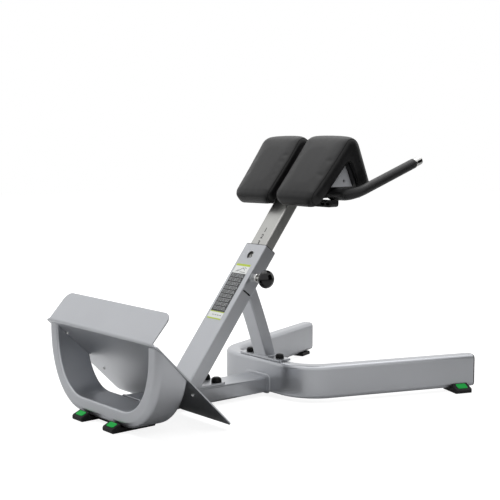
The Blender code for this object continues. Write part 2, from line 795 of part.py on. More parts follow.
def rear_strut():
    """Gently bowed tube from the rear base up to the back of the sleeve."""
    path = [at(STRUT_STATION, 0.0, STRUT_PLATE_TOP)]
    step = 0.034
    for i in range(7):
        lean = STRUT_LEAN - (i + 0.5) * step / STRUT_BEND
        path.append(path[-1] + Vector((-math.cos(lean), 0.0, math.sin(lean))) * step)
    outer = rounded_outline(STRUT_DEPTH, STRUT_WIDTH, STRUT_CORNER)
    inner = rounded_outline(STRUT_DEPTH - 2 * STRUT_WALL, STRUT_WIDTH - 2 * STRUT_WALL,
                            STRUT_CORNER - STRUT_WALL)
    foot_cut = floor_plane(STRUT_PLATE_TOP + GAP)
    head_cut = (on_post(SLEEVE_DEPTH / 2 + GAP, 0.0, 0.0), POST_REARWARD)
    side = Vector((1.0, 0.0, 0.0))
    bm = bmesh.new()
    pipe(bm, carry(path, side, outer, foot_cut, head_cut),
         carry(path, side, inner, foot_cut, head_cut))
    return finish("rear_strut", bm, silver_paint())


def base_plate(name, front, rear, width, bottom, thickness, bolts):
    """Flat base plate with rounded corners and clearance holes."""
    outline = rounded_outline(rear - front, width, 0.006, 2)
    origin = at((front + rear) / 2, 0.0, bottom)
    obj = plate(name, outline, origin, Vector((1, 0, 0)), Y_AXIS, thickness, silver_paint())
    for word, place in bolts.items():
        cut(obj, round_cutter(name + "_hole_" + word, at(*place, bottom - 0.005),
                              Vector((0, 0, 1)), BOLT_RADIUS + GAP, thickness + 0.01, 16))
    return obj


def sleeve_bolt_places():
    front, rear = SLEEVE_BOLT_STATIONS
    return {"front_left": (front, SLEEVE_BOLT_Y), "front_right": (front, -SLEEVE_BOLT_Y),
            "rear_left": (rear, SLEEVE_BOLT_Y), "rear_right": (rear, -SLEEVE_BOLT_Y)}


def strut_bolt_places():
    station = (STRUT_PLATE_FRONT + STRUT_PLATE_REAR) / 2
    return {"left": (station, STRUT_BOLT_Y), "right": (station, -STRUT_BOLT_Y)}


def bolt(name, place, top, shank_end):
    """Hexagon bolt: head on the plate, shank down into the tube."""
    shank = BOLT_RADIUS - 0.0002
    profile = [(0.0, shank_end), (shank - 0.0008, shank_end), (shank, shank_end + 0.001),
               (shank, top + GAP)]
    head = [(0.0095, top + GAP), (0.0095, top + 0.0065), (0.0088, top + 0.0072),
            (0.0, top + 0.0072)]
    bm = bmesh.new()
    up = Vector((0, 0, 1))
    rings = revolve(bm, profile, at(*place, 0.0), up, 12)
    rings += revolve(bm, head, at(*place, 0.0), up, 12)
    skin_turned(bm, rings)
    return finish(name, bm, plated_steel())


def bolt_cap(name, place, top, size):
    """Domed plastic cap over a bolt head; size is its radius and height."""
    radius, height = size
    base = 0.004
    crown = radius / 2
    profile = [(0.0, 0.0092), (0.0108, 0.0092), (0.0108, 0.0), (radius, 0.0), (radius, base)]
    for i in range(1, 6):
        turn = math.radians(90.0 * i / 5)
        profile.append((crown + (radius - crown) * math.cos(turn),
                        base + (height - 0.0006 - base) * math.sin(turn)))
    profile.append((0.0, height))
    return turned(name, profile, at(*place, top + GAP), Vector((0, 0, 1)), 20, black_plastic())


def sleeve_and_strut():
    upright_sleeve()
    sleeve_bush()
    rear_strut()
    base_plate("sleeve_base_plate", BASE_PLATE_FRONT, BASE_PLATE_REAR, BASE_PLATE_WIDTH,
               RAIL_TOP + GAP, BASE_PLATE_THICKNESS, sleeve_bolt_places())
    base_plate("strut_base_plate", STRUT_PLATE_FRONT, STRUT_PLATE_REAR, STRUT_PLATE_WIDTH,
               LEG_TOP + GAP, STRUT_PLATE_THICKNESS, strut_bolt_places())
    for word, place in sleeve_bolt_places().items():
        bolt("sleeve_bolt_" + word, place, BASE_PLATE_TOP, RAIL_TOP - 0.020)
        bolt_cap("sleeve_bolt_cap_" + word, place, BASE_PLATE_TOP, SLEEVE_BOLT_CAP)
    for word, place in strut_bolt_places().items():
        bolt("strut_bolt_" + word, place, STRUT_PLATE_TOP, LEG_TOP - 0.022)
        bolt_cap("strut_bolt_cap_" + word, place, STRUT_PLATE_TOP, STRUT_BOLT_CAP)


def drill_tube(obj, places, top, reach, name):
    for word, place in places.items():
        cut(obj, round_cutter(name + word, at(*place, top - reach),
                              Vector((0, 0, 1)), BOLT_RADIUS + GAP, reach + 0.005, 16))


# Pull pin

def pin_barrel():
    """Turned barrel: a thin end through the sleeve wall and a collar outside."""
    axis = on_post(0.0, 0.0, -PIN_DROP)
    face = SLEEVE_WIDTH / 2
    inside = POST_WIDTH / 2 + 0.0025
    outside = face + GAP + COLLAR_LENGTH
    profile = [(0.0085, inside), (BARREL_RADIUS, inside), (BARREL_RADIUS, face + GAP),
               (COLLAR_RADIUS - 0.001, face + GAP), (COLLAR_RADIUS, face + 0.0015),
               (COLLAR_RADIUS, outside - 0.002), (COLLAR_RADIUS - 0.002, outside),
               (PIN_RADIUS + 2 * GAP, outside), (PIN_RADIUS + 2 * GAP, outside - 0.003),
               (0.0085, outside - 0.003)]
    return turned("pin_barrel", profile, axis, -Y_AXIS, 24, plated_steel(), ring=True)


def pin_spring():
    """Coil spring between the pin's shoulder and the end of the barrel."""
    axis = on_post(0.0, 0.0, -PIN_DROP)
    start = SLEEVE_WIDTH / 2 + 0.0029
    end = SLEEVE_WIDTH / 2 + COLLAR_LENGTH - 0.0036
    wire = 0.0007
    radius = 0.0071
    path = []
    steps = SPRING_TURNS * 10
    for i in range(steps + 1):
        turn = 2 * math.pi * SPRING_TURNS * i / steps
        along = start + wire + (end - start - 2 * wire) * i / steps
        path.append(axis + POST_REARWARD * radius * math.cos(turn)
                    + UP_POST * radius * math.sin(turn) - Y_AXIS * along)
    bm = bmesh.new()
    loft(bm, carry(path, POST_REARWARD, circle_outline(wire, 5)))
    return finish("pin_spring", bm, plated_steel())


def pull_pin():
    """Pin with a shoulder for the spring; its tip is drawn back clear of the post."""
    axis = on_post(0.0, 0.0, -PIN_DROP)
    tip = POST_WIDTH / 2 + 0.0010
    shoulder = SLEEVE_WIDTH / 2 + 0.0005
    profile = [(0.0, tip), (PIN_RADIUS - 0.0015, tip), (PIN_RADIUS, tip + 0.0015),
               (PIN_RADIUS, shoulder), (0.0078, shoulder), (0.0078, shoulder + 0.002),
               (PIN_RADIUS, shoulder + 0.002), (PIN_RADIUS, KNOB_CENTRE - 0.004),
               (0.0, KNOB_CENTRE - 0.004)]
    return turned("pull_pin", profile, axis, -Y_AXIS, 16, plated_steel())


def pin_knob():
    """Flattened ball knob with a short neck, bored for the pin."""
    axis = on_post(0.0, 0.0, -PIN_DROP)
    bore = PIN_RADIUS + GAP
    deep = KNOB_CENTRE - 0.0035
    neck = KNOB_CENTRE - KNOB_HALF_LENGTH - 0.005
    profile = [(0.0, deep), (bore, deep), (bore, neck), (0.0100, neck), (0.0110, neck + 0.001)]
    first = math.asin(0.0115 / KNOB_RADIUS)
    for i in range(15):
        turn = first + (math.pi - first) * i / 14
        profile.append((KNOB_RADIUS * math.sin(turn), KNOB_CENTRE - KNOB_HALF_LENGTH * math.cos(turn)))
    profile[-1] = (0.0, KNOB_CENTRE + KNOB_HALF_LENGTH)
    return turned("pin_knob", profile, axis, -Y_AXIS, 28, black_plastic())


# Sliding post and what it carries

def inner_post():
    outer = rounded_outline(POST_DEPTH, POST_WIDTH, POST_CORNER)
    inner = rounded_outline(POST_DEPTH - 2 * POST_WALL, POST_WIDTH - 2 * POST_WALL,
                            POST_CORNER - POST_WALL)
    path = [on_post(0, 0, POST_ABOVE), on_post(0, 0, -POST_BELOW)]
    bm = bmesh.new()
    pipe(bm, carry(path, POST_REARWARD, outer), carry(path, POST_REARWARD, inner))
    obj = finish("inner_post", bm, plated_steel())
    for number in range(1, HOLE_COUNT + 1):
        along = -PIN_DROP + (HOLE_IN_WINDOW - number) * HOLE_PITCH
        start = on_post(0.0, -POST_WIDTH / 2 + 0.006, along)
        cut(obj, round_cutter("pin_hole_" + str(number), start, -Y_AXIS,
                              PIN_HOLE_RADIUS, 0.012, 14))
    return obj


def post_plug(name, along, direction, lid):
    """Plastic plug with a core in the post and a lid as wide as the post."""
    core = rounded_outline(POST_DEPTH - 2 * POST_WALL - 2 * GAP,
                           POST_WIDTH - 2 * POST_WALL - 2 * GAP, POST_CORNER - POST_WALL)
    cover = rounded_outline(POST_DEPTH - 0.0002, POST_WIDTH - 0.0002, POST_CORNER)
    rim = rounded_outline(POST_DEPTH - 0.003, POST_WIDTH - 0.003, POST_CORNER)
    steps = ((core, -0.016), (core, GAP), (cover, GAP), (cover, lid - 0.0015), (rim, lid))
    sections = []
    for outline, distance in steps:
        sections.append([on_post(u, v, along + direction * distance) for u, v in outline])
    bm = bmesh.new()
    loft(bm, sections)
    return finish(name, bm, black_plastic())


def handlebar_corners():
    rise = (GRIP_END_STATION - BAR_STATION) * math.tan(GRIP_RISE)
    tip_height = BAR_HEIGHT + rise
    return [at(GRIP_END_STATION, BAR_HALF_WIDTH, tip_height),
            at(BAR_STATION, BAR_HALF_WIDTH, BAR_HEIGHT),
            at(BAR_STATION, -BAR_HALF_WIDTH, BAR_HEIGHT),
            at(GRIP_END_STATION, -BAR_HALF_WIDTH, tip_height)]


def handlebar():
    """One tube behind the post, bent forward and up at both ends."""
    path = bent_path(handlebar_corners(), BAR_BEND, 7)
    side = Vector((0.0, 0.0, 1.0))
    bm = bmesh.new()
    pipe(bm, carry(path, side, circle_outline(BAR_RADIUS, 14)),
         carry(path, side, circle_outline(BAR_RADIUS - BAR_WALL, 14)))
    return finish("handlebar", bm, black_paint())


def grip(name, side):
    """Rubber sleeve on one end of the handlebar, through its bend."""
    corners = handlebar_corners()
    root = at(BAR_STATION, side * GRIP_ROOT_Y, BAR_HEIGHT)
    knee, tip = (corners[1], corners[0]) if side > 0 else (corners[2], corners[3])
    path = bent_path([root, knee, tip], BAR_BEND, 7)
    up = Vector((0.0, 0.0, 1.0))
    outer = carry(path, up, circle_outline(GRIP_RADIUS, 16))
    for i, centre in enumerate(path[:-1]):
        swell = 1.0 + (GRIP_ROOT_RADIUS / GRIP_RADIUS - 1.0) * (1.0 - max(i - 1, 0) / (len(path) - 2))
        outer[i] = [centre + (p - centre) * swell for p in outer[i]]
    bm = bmesh.new()
    pipe(bm, outer, carry(path, up, circle_outline(BAR_RADIUS + 2 * GAP, 16)))
    return finish(name, bm, black_rubber())


def grip_cap(name, side):
    """Turned end cap: a stem in the tube and a round-edged head."""
    corners = handlebar_corners()
    knee, tip = (corners[1], corners[0]) if side > 0 else (corners[2], corners[3])
    along = (tip - knee).normalized()
    radius = GRIP_CAP_RADIUS
    profile = [(0.0, -0.018), (BAR_RADIUS - BAR_WALL - GAP, -0.018),
               (BAR_RADIUS - BAR_WALL - GAP, GAP), (radius - 0.0006, GAP), (radius, 0.001),
               (radius, GRIP_CAP_LENGTH - 0.0035), (radius - 0.0012, GRIP_CAP_LENGTH - 0.001),
               (radius - 0.0036, GRIP_CAP_LENGTH), (0.0, GRIP_CAP_LENGTH)]
    return turned(name, profile, tip, along, 24, plated_steel())


def cross_member():
    """Flat bar under the handlebar with round ends and two slots at each end."""
    top = BAR_HEIGHT - GRIP_ROOT_RADIUS - GAP
    half, depth, height, radius = CROSS_HALF_WIDTH, CROSS_DEPTH, CROSS_HEIGHT, 0.010
    outline = arc(-half + radius, -height + radius, radius, 180, 270, 3)
    outline += arc(half - radius, -height + radius, radius, 270, 360, 3)
    outline += [(half, 0.0), (-half, 0.0)]
    front = at(BAR_STATION - CROSS_BEFORE_BAR, 0.0, top)
    low = [front + Y_AXIS * u + Vector((0, 0, v)) for u, v in outline]
    high = [p + Vector((depth, 0, 0)) for p in low]
    bm = bmesh.new()
    loft(bm, [low, high])
    obj = finish("cross_member", bm, black_paint())
    slot = rounded_outline(0.016, 0.008, 0.0035, 3)
    for side in (1, -1):
        for index, y in enumerate((0.125, 0.149)):
            middle = at(BAR_STATION - CROSS_BEFORE_BAR - 0.008, side * y, top - height / 2 - 0.001)
            low = [middle + Y_AXIS * u + Vector((0, 0, v)) for u, v in slot]
            high = [p + Vector((0.018, 0, 0)) for p in low]
            bm = bmesh.new()
            loft(bm, [low, high])
            name = "cross_slot_" + ("left_" if side > 0 else "right_") + str(index)
            cut(obj, finish(name, bm, black_paint()))
    return obj


# The pads' V section, in the plane of stations and heights

def pad_directions():
    up_face = (math.cos(PAD_FACE_SLOPE), math.sin(PAD_FACE_SLOPE))
    down_rear = (math.cos(PAD_REAR_SLOPE), -math.sin(PAD_REAR_SLOPE))
    return up_face, down_rear


def v_line(depth_front, depth_rear, apex_radius, front_length, rear_length):
    """Points along a V that lies inside the outer one, with a round apex.

    The two depths are measured square to the front face and the rear face.
    The points crowd at both ends, where a pad is rounded.
    """
    (ux, uz), (rx, rz) = pad_directions()
    ax, az = APEX
    # both outer lines move inwards, and cross at a new apex
    fx, fz = ax + uz * depth_front, az - ux * depth_front
    gx, gz = ax + rz * depth_rear, az - rx * depth_rear
    det = ux * -rz + rx * uz
    t = ((gx - fx) * -rz + rx * (gz - fz)) / det
    cross = (fx + ux * t, fz + uz * t)
    half = (math.pi - PAD_FACE_SLOPE - PAD_REAR_SLOPE) / 2
    reach = apex_radius / math.tan(half)
    start = along_front(front_length, depth_front)
    end = along_rear(rear_length, depth_rear)
    first = (cross[0] - ux * reach, cross[1] - uz * reach)
    last = (cross[0] + rx * reach, cross[1] + rz * reach)
    centre = (first[0] + uz * apex_radius, first[1] - ux * apex_radius)
    angle0 = math.atan2(first[1] - centre[1], first[0] - centre[0])
    angle1 = math.atan2(last[1] - centre[1], last[0] - centre[0])
    if angle1 > angle0:
        angle1 -= 2 * math.pi
    points = between(start, first, END_STEPS + (0.45, 0.75, 1.0))
    for i in range(1, 8):
        turn = angle0 + (angle1 - angle0) * i / 8
        points.append((centre[0] + apex_radius * math.cos(turn),
                       centre[1] + apex_radius * math.sin(turn)))
    points += list(reversed(between(end, last, END_STEPS + (0.55, 1.0))))
    return points


def between(start, end, steps):
    """Points from start to end; steps below zero are lengths in metres."""
    length = math.hypot(end[0] - start[0], end[1] - start[1])
    points = []
    for step in steps:
        share = -step / length if step < 0 else step
        points.append((start[0] + (end[0] - start[0]) * share,
                       start[1] + (end[1] - start[1]) * share))
    return points


def along_front(length, depth):
    """Point on the front leg, a length down from the apex and a depth inwards."""
    (ux, uz), _ = pad_directions()
    ax, az = APEX
    return (ax - ux * length + uz * depth, az - uz * length - ux * depth)


def along_rear(length, depth):
    _, (rx, rz) = pad_directions()
    ax, az = APEX
    return (ax + rx * length + rz * depth, az + rz * length - rx * depth)


def outer_apex():
    """Where the straight front face and rear face would meet."""
    (ux, uz), _ = pad_directions()
    fx, fz = FACE_FOOT
    return (fx + ux * FRONT_PAD_LENGTH, fz + uz * FRONT_PAD_LENGTH)


APEX = outer_apex()
END_STEPS = (0.0, -0.0022, -0.0075, -0.0160, -0.0300)


def cant_matrix(side):
    """Each pad is turned a little outwards about its long front edge."""
    (ux, uz), _ = pad_directions()
    axis = Vector((ux, 0.0, uz))
    pivot = at(FACE_FOOT[0], side * PAD_INNER_Y, FACE_FOOT[1])
    turn = Matrix.Rotation(-side * PAD_CANT, 4, axis)
    return Matrix.Translation(pivot) @ turn @ Matrix.Translation(-pivot)


def outer_edge(point):
    """Half width of a pad at a point of its section: it narrows towards the ends."""
    away = math.hypot(point[0] - APEX[0], point[1] - APEX[1])
    taper = PAD_TAPER if point[0] < APEX[0] else PAD_REAR_TAPER
    return PAD_OUTER_Y - taper * away


def quarter(radius, distance):
    """How far a rounded end has drawn in, a distance from its tip."""
    if distance >= radius:
        return 0.0
    return radius - math.sqrt(radius ** 2 - (radius - distance) ** 2)


def hip_pad(name, side):
    """Upholstered pad folded over the board: crowned face, drawn-in sides, round ends."""
    outer = v_line(0.0, 0.0, PAD_APEX_RADIUS, FRONT_PAD_LENGTH, REAR_PAD_LENGTH)
    inner = v_line(FRONT_PAD_THICKNESS, REAR_PAD_THICKNESS, BOARD_APEX_RADIUS + BOARD_THICKNESS,
                   FRONT_PAD_LENGTH, REAR_PAD_LENGTH)
    # half section: share of the thickness, share of the half width
    rim = ((0.0, 0.962), (0.20, 0.984), (0.50, 1.0), (0.72, 0.997), (0.85, 0.972),
           (0.935, 0.925), (0.985, 0.845), (1.015, 0.70), (1.035, 0.40), (1.042, 0.0))
    loop = [(t, s) for t, s in rim] + [(t, -s) for t, s in reversed(rim[:-1])]
    count = len(outer)
    sections = []
    for i, ((ox, oz), (ix, iz)) in enumerate(zip(outer, inner)):
        tip = min(i, count - 1 - i)
        distance = -END_STEPS[tip] + 0.0008 if tip < len(END_STEPS) else 1.0
        thick = math.hypot(ox - ix, oz - iz)
        base = quarter(PAD_NOSE * 0.6, distance) / thick
        face = 1.0 - quarter(PAD_NOSE, distance) / thick
        outside = outer_edge((ox, oz)) - quarter(PAD_CORNER, distance)
        inside = PAD_INNER_Y + quarter(PAD_CORNER, distance)
        middle = (outside + inside) / 2
        half = (outside - inside) / 2
        section = []
        for t, s in loop:
            lift = base + t * (face - base)
            section.append(at(ix + (ox - ix) * lift, side * (middle + half * s),
                              iz + (oz - iz) * lift))
        sections.append(section)
    bm = bmesh.new()
    loft(bm, sections)
    bmesh.ops.triangulate(bm, faces=[f for f in bm.faces if len(f.verts) > 4])
    obj = finish(name, bm, black_vinyl(), math.radians(60))
    obj.data.transform(cant_matrix(side))
    return obj


def pad_board(name, side):
    """Bent steel plate that backs the pad."""
    base_f = FRONT_PAD_THICKNESS + GAP
    base_r = REAR_PAD_THICKNESS + GAP
    outer = v_line(base_f, base_r, BOARD_APEX_RADIUS + BOARD_THICKNESS,
                   FRONT_PAD_LENGTH - 0.020, REAR_PAD_LENGTH - 0.016)
    inner = v_line(base_f + BOARD_THICKNESS, base_r + BOARD_THICKNESS, BOARD_APEX_RADIUS,
                   FRONT_PAD_LENGTH - 0.020, REAR_PAD_LENGTH - 0.016)
    y0 = side * (PAD_INNER_Y + BOARD_INSET)
    sections = []
    for (ox, oz), (ix, iz) in zip(outer, inner):
        y1 = side * (outer_edge((ox, oz)) - BOARD_INSET)
        sections.append([at(ox, y0, oz), at(ox, y1, oz), at(ix, y1, iz), at(ix, y0, iz)])
    bm = bmesh.new()
    loft(bm, sections)
    obj = finish(name, bm, black_paint())
    obj.data.transform(cant_matrix(side))
    return obj


def carrier_plate(name, side, inner_y, thickness, bottom, mat):
    """Triangular plate between the boards."""
    cant_shift = (inner_y + thickness - PAD_INNER_Y) * math.tan(PAD_CANT)
    depth_f = FRONT_PAD_THICKNESS + BOARD_THICKNESS + cant_shift + 4 * GAP
    # the rear face turns with the front one, so it moves by its share of the cant
    lean = math.cos(math.pi - PAD_FACE_SLOPE - PAD_REAR_SLOPE)
    depth_r = REAR_PAD_THICKNESS + BOARD_THICKNESS + cant_shift * -lean + 4 * GAP
    top_line = v_line(depth_f, depth_r, 0.014, FRONT_PAD_LENGTH, REAR_PAD_LENGTH)
    first = cut_at_height(top_line[1], top_line[0], bottom)
    last = cut_at_height(top_line[-2], top_line[-1], bottom)
    outline = [first] + [p for p in top_line if p[1] > bottom + 0.002] + [last]
    y0 = side * inner_y
    y1 = side * (inner_y + thickness)
    bm = bmesh.new()
    loft(bm, [[at(x, y0, z) for x, z in outline], [at(x, y1, z) for x, z in outline]])
    return finish(name, bm, mat)


def head_bracket(name, side):
    """Inner carrier plate, through which the handlebar runs."""
    obj = carrier_plate(name, side, HEAD_BRACKET_Y, HEAD_BRACKET_THICKNESS,
                        BAR_HEIGHT - GRIP_ROOT_RADIUS, black_paint())
    start = at(BAR_STATION, side * (HEAD_BRACKET_Y - 0.01), BAR_HEIGHT)
    cut(obj, round_cutter("bar_cut_" + name, start, Y_AXIS * side, BAR_RADIUS + GAP, 0.030, 20))
    return obj


def gusset(name, side):
    """Outer carrier plate: it ends over the grip's root, and has a small round hole."""
    obj = carrier_plate(name, side, GUSSET_Y, GUSSET_THICKNESS,
                        BAR_HEIGHT + GUSSET_ABOVE_BAR, silver_paint())
    cut(obj, round_cutter("hole_" + name, at(0.848, side * (GUSSET_Y - 0.01), 0.696),
                          Y_AXIS * side, GUSSET_HOLE_RADIUS, 0.030, 14))
    return obj


def cut_at_height(upper, lower, height):
    share = (height - upper[1]) / (lower[1] - upper[1])
    return (upper[0] + (lower[0] - upper[0]) * share, height)


def base_frame():
    hoop = front_hoop()
    rail = main_rail()
    legs = rear_legs()
    drill_tube(rail, sleeve_bolt_places(), RAIL_TOP, 0.010, "rail_hole_")
    drill_tube(legs, strut_bolt_places(), LEG_TOP, 0.010, "leg_hole_")
    return [hoop, foot_plate(), foot_mat(), rail, rail_flange(), legs,
            leg_cap("leg_cap_left", 1), leg_cap("leg_cap_right", -1),
            hoop_rubber_strip(), pin_barrel(), pin_spring()]


def sliding_pieces():
    pieces = [inner_post(), post_plug("post_top_cap", POST_ABOVE, 1.0, 0.005),
              post_plug("post_glide", -POST_BELOW, -1.0, 0.008), handlebar(), cross_member()]
    for side, word in ((1, "left"), (-1, "right")):
        pieces.append(grip("grip_" + word, side))
        pieces.append(grip_cap("grip_cap_" + word, side))
        pieces.append(gusset("gusset_" + word, side))
        pieces.append(head_bracket("head_bracket_" + word, side))
        pieces.append(pad_board("pad_board_" + word, side))
        pieces.append(hip_pad("hip_pad_" + word, side))
    return pieces


def main():
    clear_scene()
    base_frame()
    rubber_feet()
    sleeve_and_strut()
    slide = axis_empty("post_slide_axis", SLEEVE_TOP, (0.0, math.pi / 2 - TILT, 0.0))
    for obj in sliding_pieces():
        hang_on(obj, slide)
    pin = axis_empty("pin_slide_axis", on_post(0.0, -SLEEVE_WIDTH / 2, -PIN_DROP))
    for obj in (pull_pin(), pin_knob()):
        hang_on(obj, pin)


main()
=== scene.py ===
"""Looks of the hyperextension bench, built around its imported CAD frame.

Lengths along the bench are stations, measured from the front tips of the
rubber feet, as in the CAD source. All sizes are in metres.
"""

import json
import math

import bmesh
import bpy
from mathutils import Matrix, Vector
from mathutils.bvhtree import BVHTree


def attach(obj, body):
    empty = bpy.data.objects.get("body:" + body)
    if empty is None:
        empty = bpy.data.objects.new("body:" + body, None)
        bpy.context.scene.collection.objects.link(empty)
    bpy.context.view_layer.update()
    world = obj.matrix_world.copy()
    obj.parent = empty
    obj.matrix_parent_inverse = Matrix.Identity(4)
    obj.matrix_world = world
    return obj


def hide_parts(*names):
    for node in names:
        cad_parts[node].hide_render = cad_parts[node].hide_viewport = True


bl_info = {
    "name": "Hyperextension bench looks",
    "version": (1, 0, 0),
    "blender": (4, 5, 0),
    "location": "View3D > Sidebar > Bench",
    "description": "Finishes, upholstery and small details around the bench's CAD frame",
    "category": "Object",
}

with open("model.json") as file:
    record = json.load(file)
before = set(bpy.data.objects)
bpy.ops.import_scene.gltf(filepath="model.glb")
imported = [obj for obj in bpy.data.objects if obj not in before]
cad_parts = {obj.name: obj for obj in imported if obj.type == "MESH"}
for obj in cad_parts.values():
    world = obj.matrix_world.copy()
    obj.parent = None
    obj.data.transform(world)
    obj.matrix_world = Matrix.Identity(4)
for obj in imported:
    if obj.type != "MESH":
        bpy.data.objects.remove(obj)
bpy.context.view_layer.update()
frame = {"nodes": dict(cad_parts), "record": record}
HALF_LENGTH = 0.61735


def at(station, y, z):
    """World point for a station along the bench."""
    return Vector((station - HALF_LENGTH, y, z))


def sloping(angle):
    """Direction in the bench's middle plane, at an angle above +X."""
    return Vector((math.cos(angle), 0.0, math.sin(angle)))


# Directions and places of the CAD source
Y_AXIS = Vector((0.0, 1.0, 0.0))
Z_AXIS = Vector((0.0, 0.0, 1.0))
TILT = math.radians(52.4)
UP_POST = sloping(TILT)
POST_REARWARD = Vector((math.sin(TILT), 0.0, -math.cos(TILT)))
SLEEVE_MOUTH = at(0.6448, 0.0, 0.4769)
PLATE_SLOPE = math.radians(44.9)
DOWN_PLATE = sloping(-PLATE_SLOPE)
PLATE_UNDERSIDE = Vector((-math.sin(PLATE_SLOPE), 0.0, -math.cos(PLATE_SLOPE)))
UP_FLANGE = sloping(math.radians(47.6))
FOLD = at(0.0203, 0.0, 0.277)
SHEET = 0.004
FOOT_RISE = 0.013
# room that the CAD leaves between pieces that are welded or laid on each other
GAP = 0.0003


def on_post(rearward, y, along):
    """Point in the post's own directions, from the middle of the sleeve's mouth."""
    return SLEEVE_MOUTH + POST_REARWARD * rearward + Y_AXIS * y + UP_POST * along


# Colours, sizes and lights that the sidebar can change

def linear(hex_colour):
    """Linear RGBA of an sRGB hex colour."""
    value = hex_colour.lstrip("#")
    channels = [int(value[i:i + 2], 16) / 255 for i in (0, 2, 4)]
    bent = [c / 12.92 if c <= 0.04045 else ((c + 0.055) / 1.055) ** 2.4 for c in channels]
    return (*bent, 1.0)


def grey(level):
    """Linear RGBA of a grey."""
    return (level, level, level, 1.0)


def colour(name, description, hex_colour):
    return bpy.props.FloatVectorProperty(
        name=name, description=description, subtype="COLOR", size=4, min=0.0, max=1.0,
        default=linear(hex_colour))


def number(name, description, default, unit="NONE"):
    return bpy.props.FloatProperty(name=name, description=description, default=default, unit=unit)


class BenchColours(bpy.types.PropertyGroup):
    frame_paint: colour("Frame paint", "Silver grey powder coat", "#B6B8BC")
    # painted light: the gussets' coat is the frame paint made lighter and less mirror-like, so
    # that they read lit where they stand in shade
    gusset_paint: colour("Gusset paint", "Duller silver coat of the gussets", "#D2D4D8")
    black_paint: colour("Black paint", "Powder coat of the handlebar and boards", "#0C0C0D")
    plating: colour("Plating", "Nickel-plated post", "#B9B9B6")
    chrome: colour("Chrome", "Grip caps, pin barrel and bolts", "#D8D8D6")
    vinyl: colour("Vinyl", "Upholstery of the hip pads", "#0F0F10")
    rubber: colour("Rubber", "Feet and foot mat", "#0C0C0D")
    grip_rubber: colour("Grip rubber", "Rubber sleeves of the handlebar", "#272728")
    plastic: colour("Plastic", "Caps, bush and plugs", "#080809")
    insert: colour("Foot inserts", "Coloured inserts of the rubber feet", "#22BE50")
    label_lime: colour("Label stripes", "Stripes at both ends of the label", "#B9CF2E")
    label_panel: colour("Label panel", "Dark panel of the label", "#17181A")


class BenchSizes(bpy.types.PropertyGroup):
    remesh_voxel: number("Pad voxel", "Voxel size of a pad before its cloth is blown up",
                         0.004, "LENGTH")
    pad_pressure: number("Pad pressure", "Pressure of the foam under the vinyl", 4.0)
    pad_shrink: number("Pad allowance", "How much smaller a pad starts before it swells",
                       0.0006, "LENGTH")
    pad_cap: number("Pad swell", "Furthest that a point of a pad may move", 0.0025, "LENGTH")
    pad_plump: number("Pad fullness", "How far a pad's skin is pushed out after smoothing",
                      0.0018, "LENGTH")
    digit_height: number("Digit height", "Height of the hole numbers", 0.0170, "LENGTH")
    weld_width: number("Weld width", "Width of a weld bead", 0.005, "LENGTH")


class BenchLight(bpy.types.PropertyGroup):
    key_power: number("Key light", "Lamp at the far left", 106.0, "POWER")
    fill_power: number("Fill light", "Lamp at the near right", 38.0, "POWER")
    top_power: number("Top light", "Large lamp over the bench", 66.0, "POWER")
    room_strength: number("Room light", "Even light from all sides", 0.07)


def adjust(thing, **settings):
    """Set attributes of a modifier, lamp or the like."""
    for name, value in settings.items():
        setattr(thing, name, value)


# Nodes and materials

def feed(tree, node, **inputs):
    """Link output sockets to a node's inputs, or set inputs to values.

    Lower-case names are settings of the node. Input names have underscores for
    spaces; digits after a double underscore pick an input by its number.
    """
    for name, value in inputs.items():
        key = int(name[2:]) if name.startswith("__") else name.replace("_", " ")
        if name[0].islower():
            setattr(node, name, value)
        elif isinstance(value, bpy.types.NodeSocket):
            tree.links.new(value, node.inputs[key])
        else:
            node.inputs[key].default_value = value


def add_node(tree, kind, **inputs):
    node = tree.nodes.new("ShaderNode" + kind)
    feed(tree, node, **inputs)
    return node


def empty_tree(owner):
    """Cleared node tree of a material or world."""
    owner.use_nodes = True
    owner.node_tree.nodes.clear()
    return owner.node_tree


def new_material(name):
    """Material with a Principled shader, its node tree and object coordinates."""
    material = bpy.data.materials.new(name)
    tree = empty_tree(material)
    shader = add_node(tree, "BsdfPrincipled")
    add_node(tree, "OutputMaterial", Surface=shader.outputs["BSDF"])
    return material, tree, object_space(tree)


def dress(material, bump=None, **inputs):
    """Feed a material's shader; bump is a height pattern with its depth and strength."""
    tree = material.node_tree
    if bump:
        height, depth, strength = bump
        node = add_node(tree, "Bump", Height=height, Distance=depth, Strength=strength)
        inputs["Normal"] = node.outputs["Normal"]
    feed(tree, tree.nodes["Principled BSDF"], **inputs)
    return material


def object_space(tree, stretch=(1.0, 1.0, 1.0), turn=(0.0, 0.0, 0.0)):
    place = add_node(tree, "TexCoord").outputs["Object"]
    return add_node(tree, "Mapping", vector_type="POINT", Vector=place, Rotation=turn,
                    Scale=stretch).outputs["Vector"]


def per_mm(size_mm):
    """Texture scale at which one feature is this many millimetres wide."""
    return 1000.0 / size_mm


def noise(tree, vector, size_mm, detail=2.0, roughness=0.5):
    return add_node(tree, "TexNoise", Vector=vector, Scale=per_mm(size_mm), Detail=detail,
                    Roughness=roughness).outputs["Fac"]


def spread(tree, factor, low, high):
    """Map a 0 to 1 pattern to the range from low to high."""
    return add_node(tree, "MapRange", Value=factor, To_Min=low, To_Max=high).outputs["Result"]


def toned(tree, factor, base, change):
    """Colour that a pattern makes a little darker or lighter."""
    dark = tuple(c * (1 - change) for c in base[:3]) + (1.0,)
    light = tuple(min(c * (1 + change), 1.0) for c in base[:3]) + (1.0,)
    mix = add_node(tree, "Mix", data_type="RGBA", Factor=factor, __6=dark, __7=light)
    return mix.outputs[2]


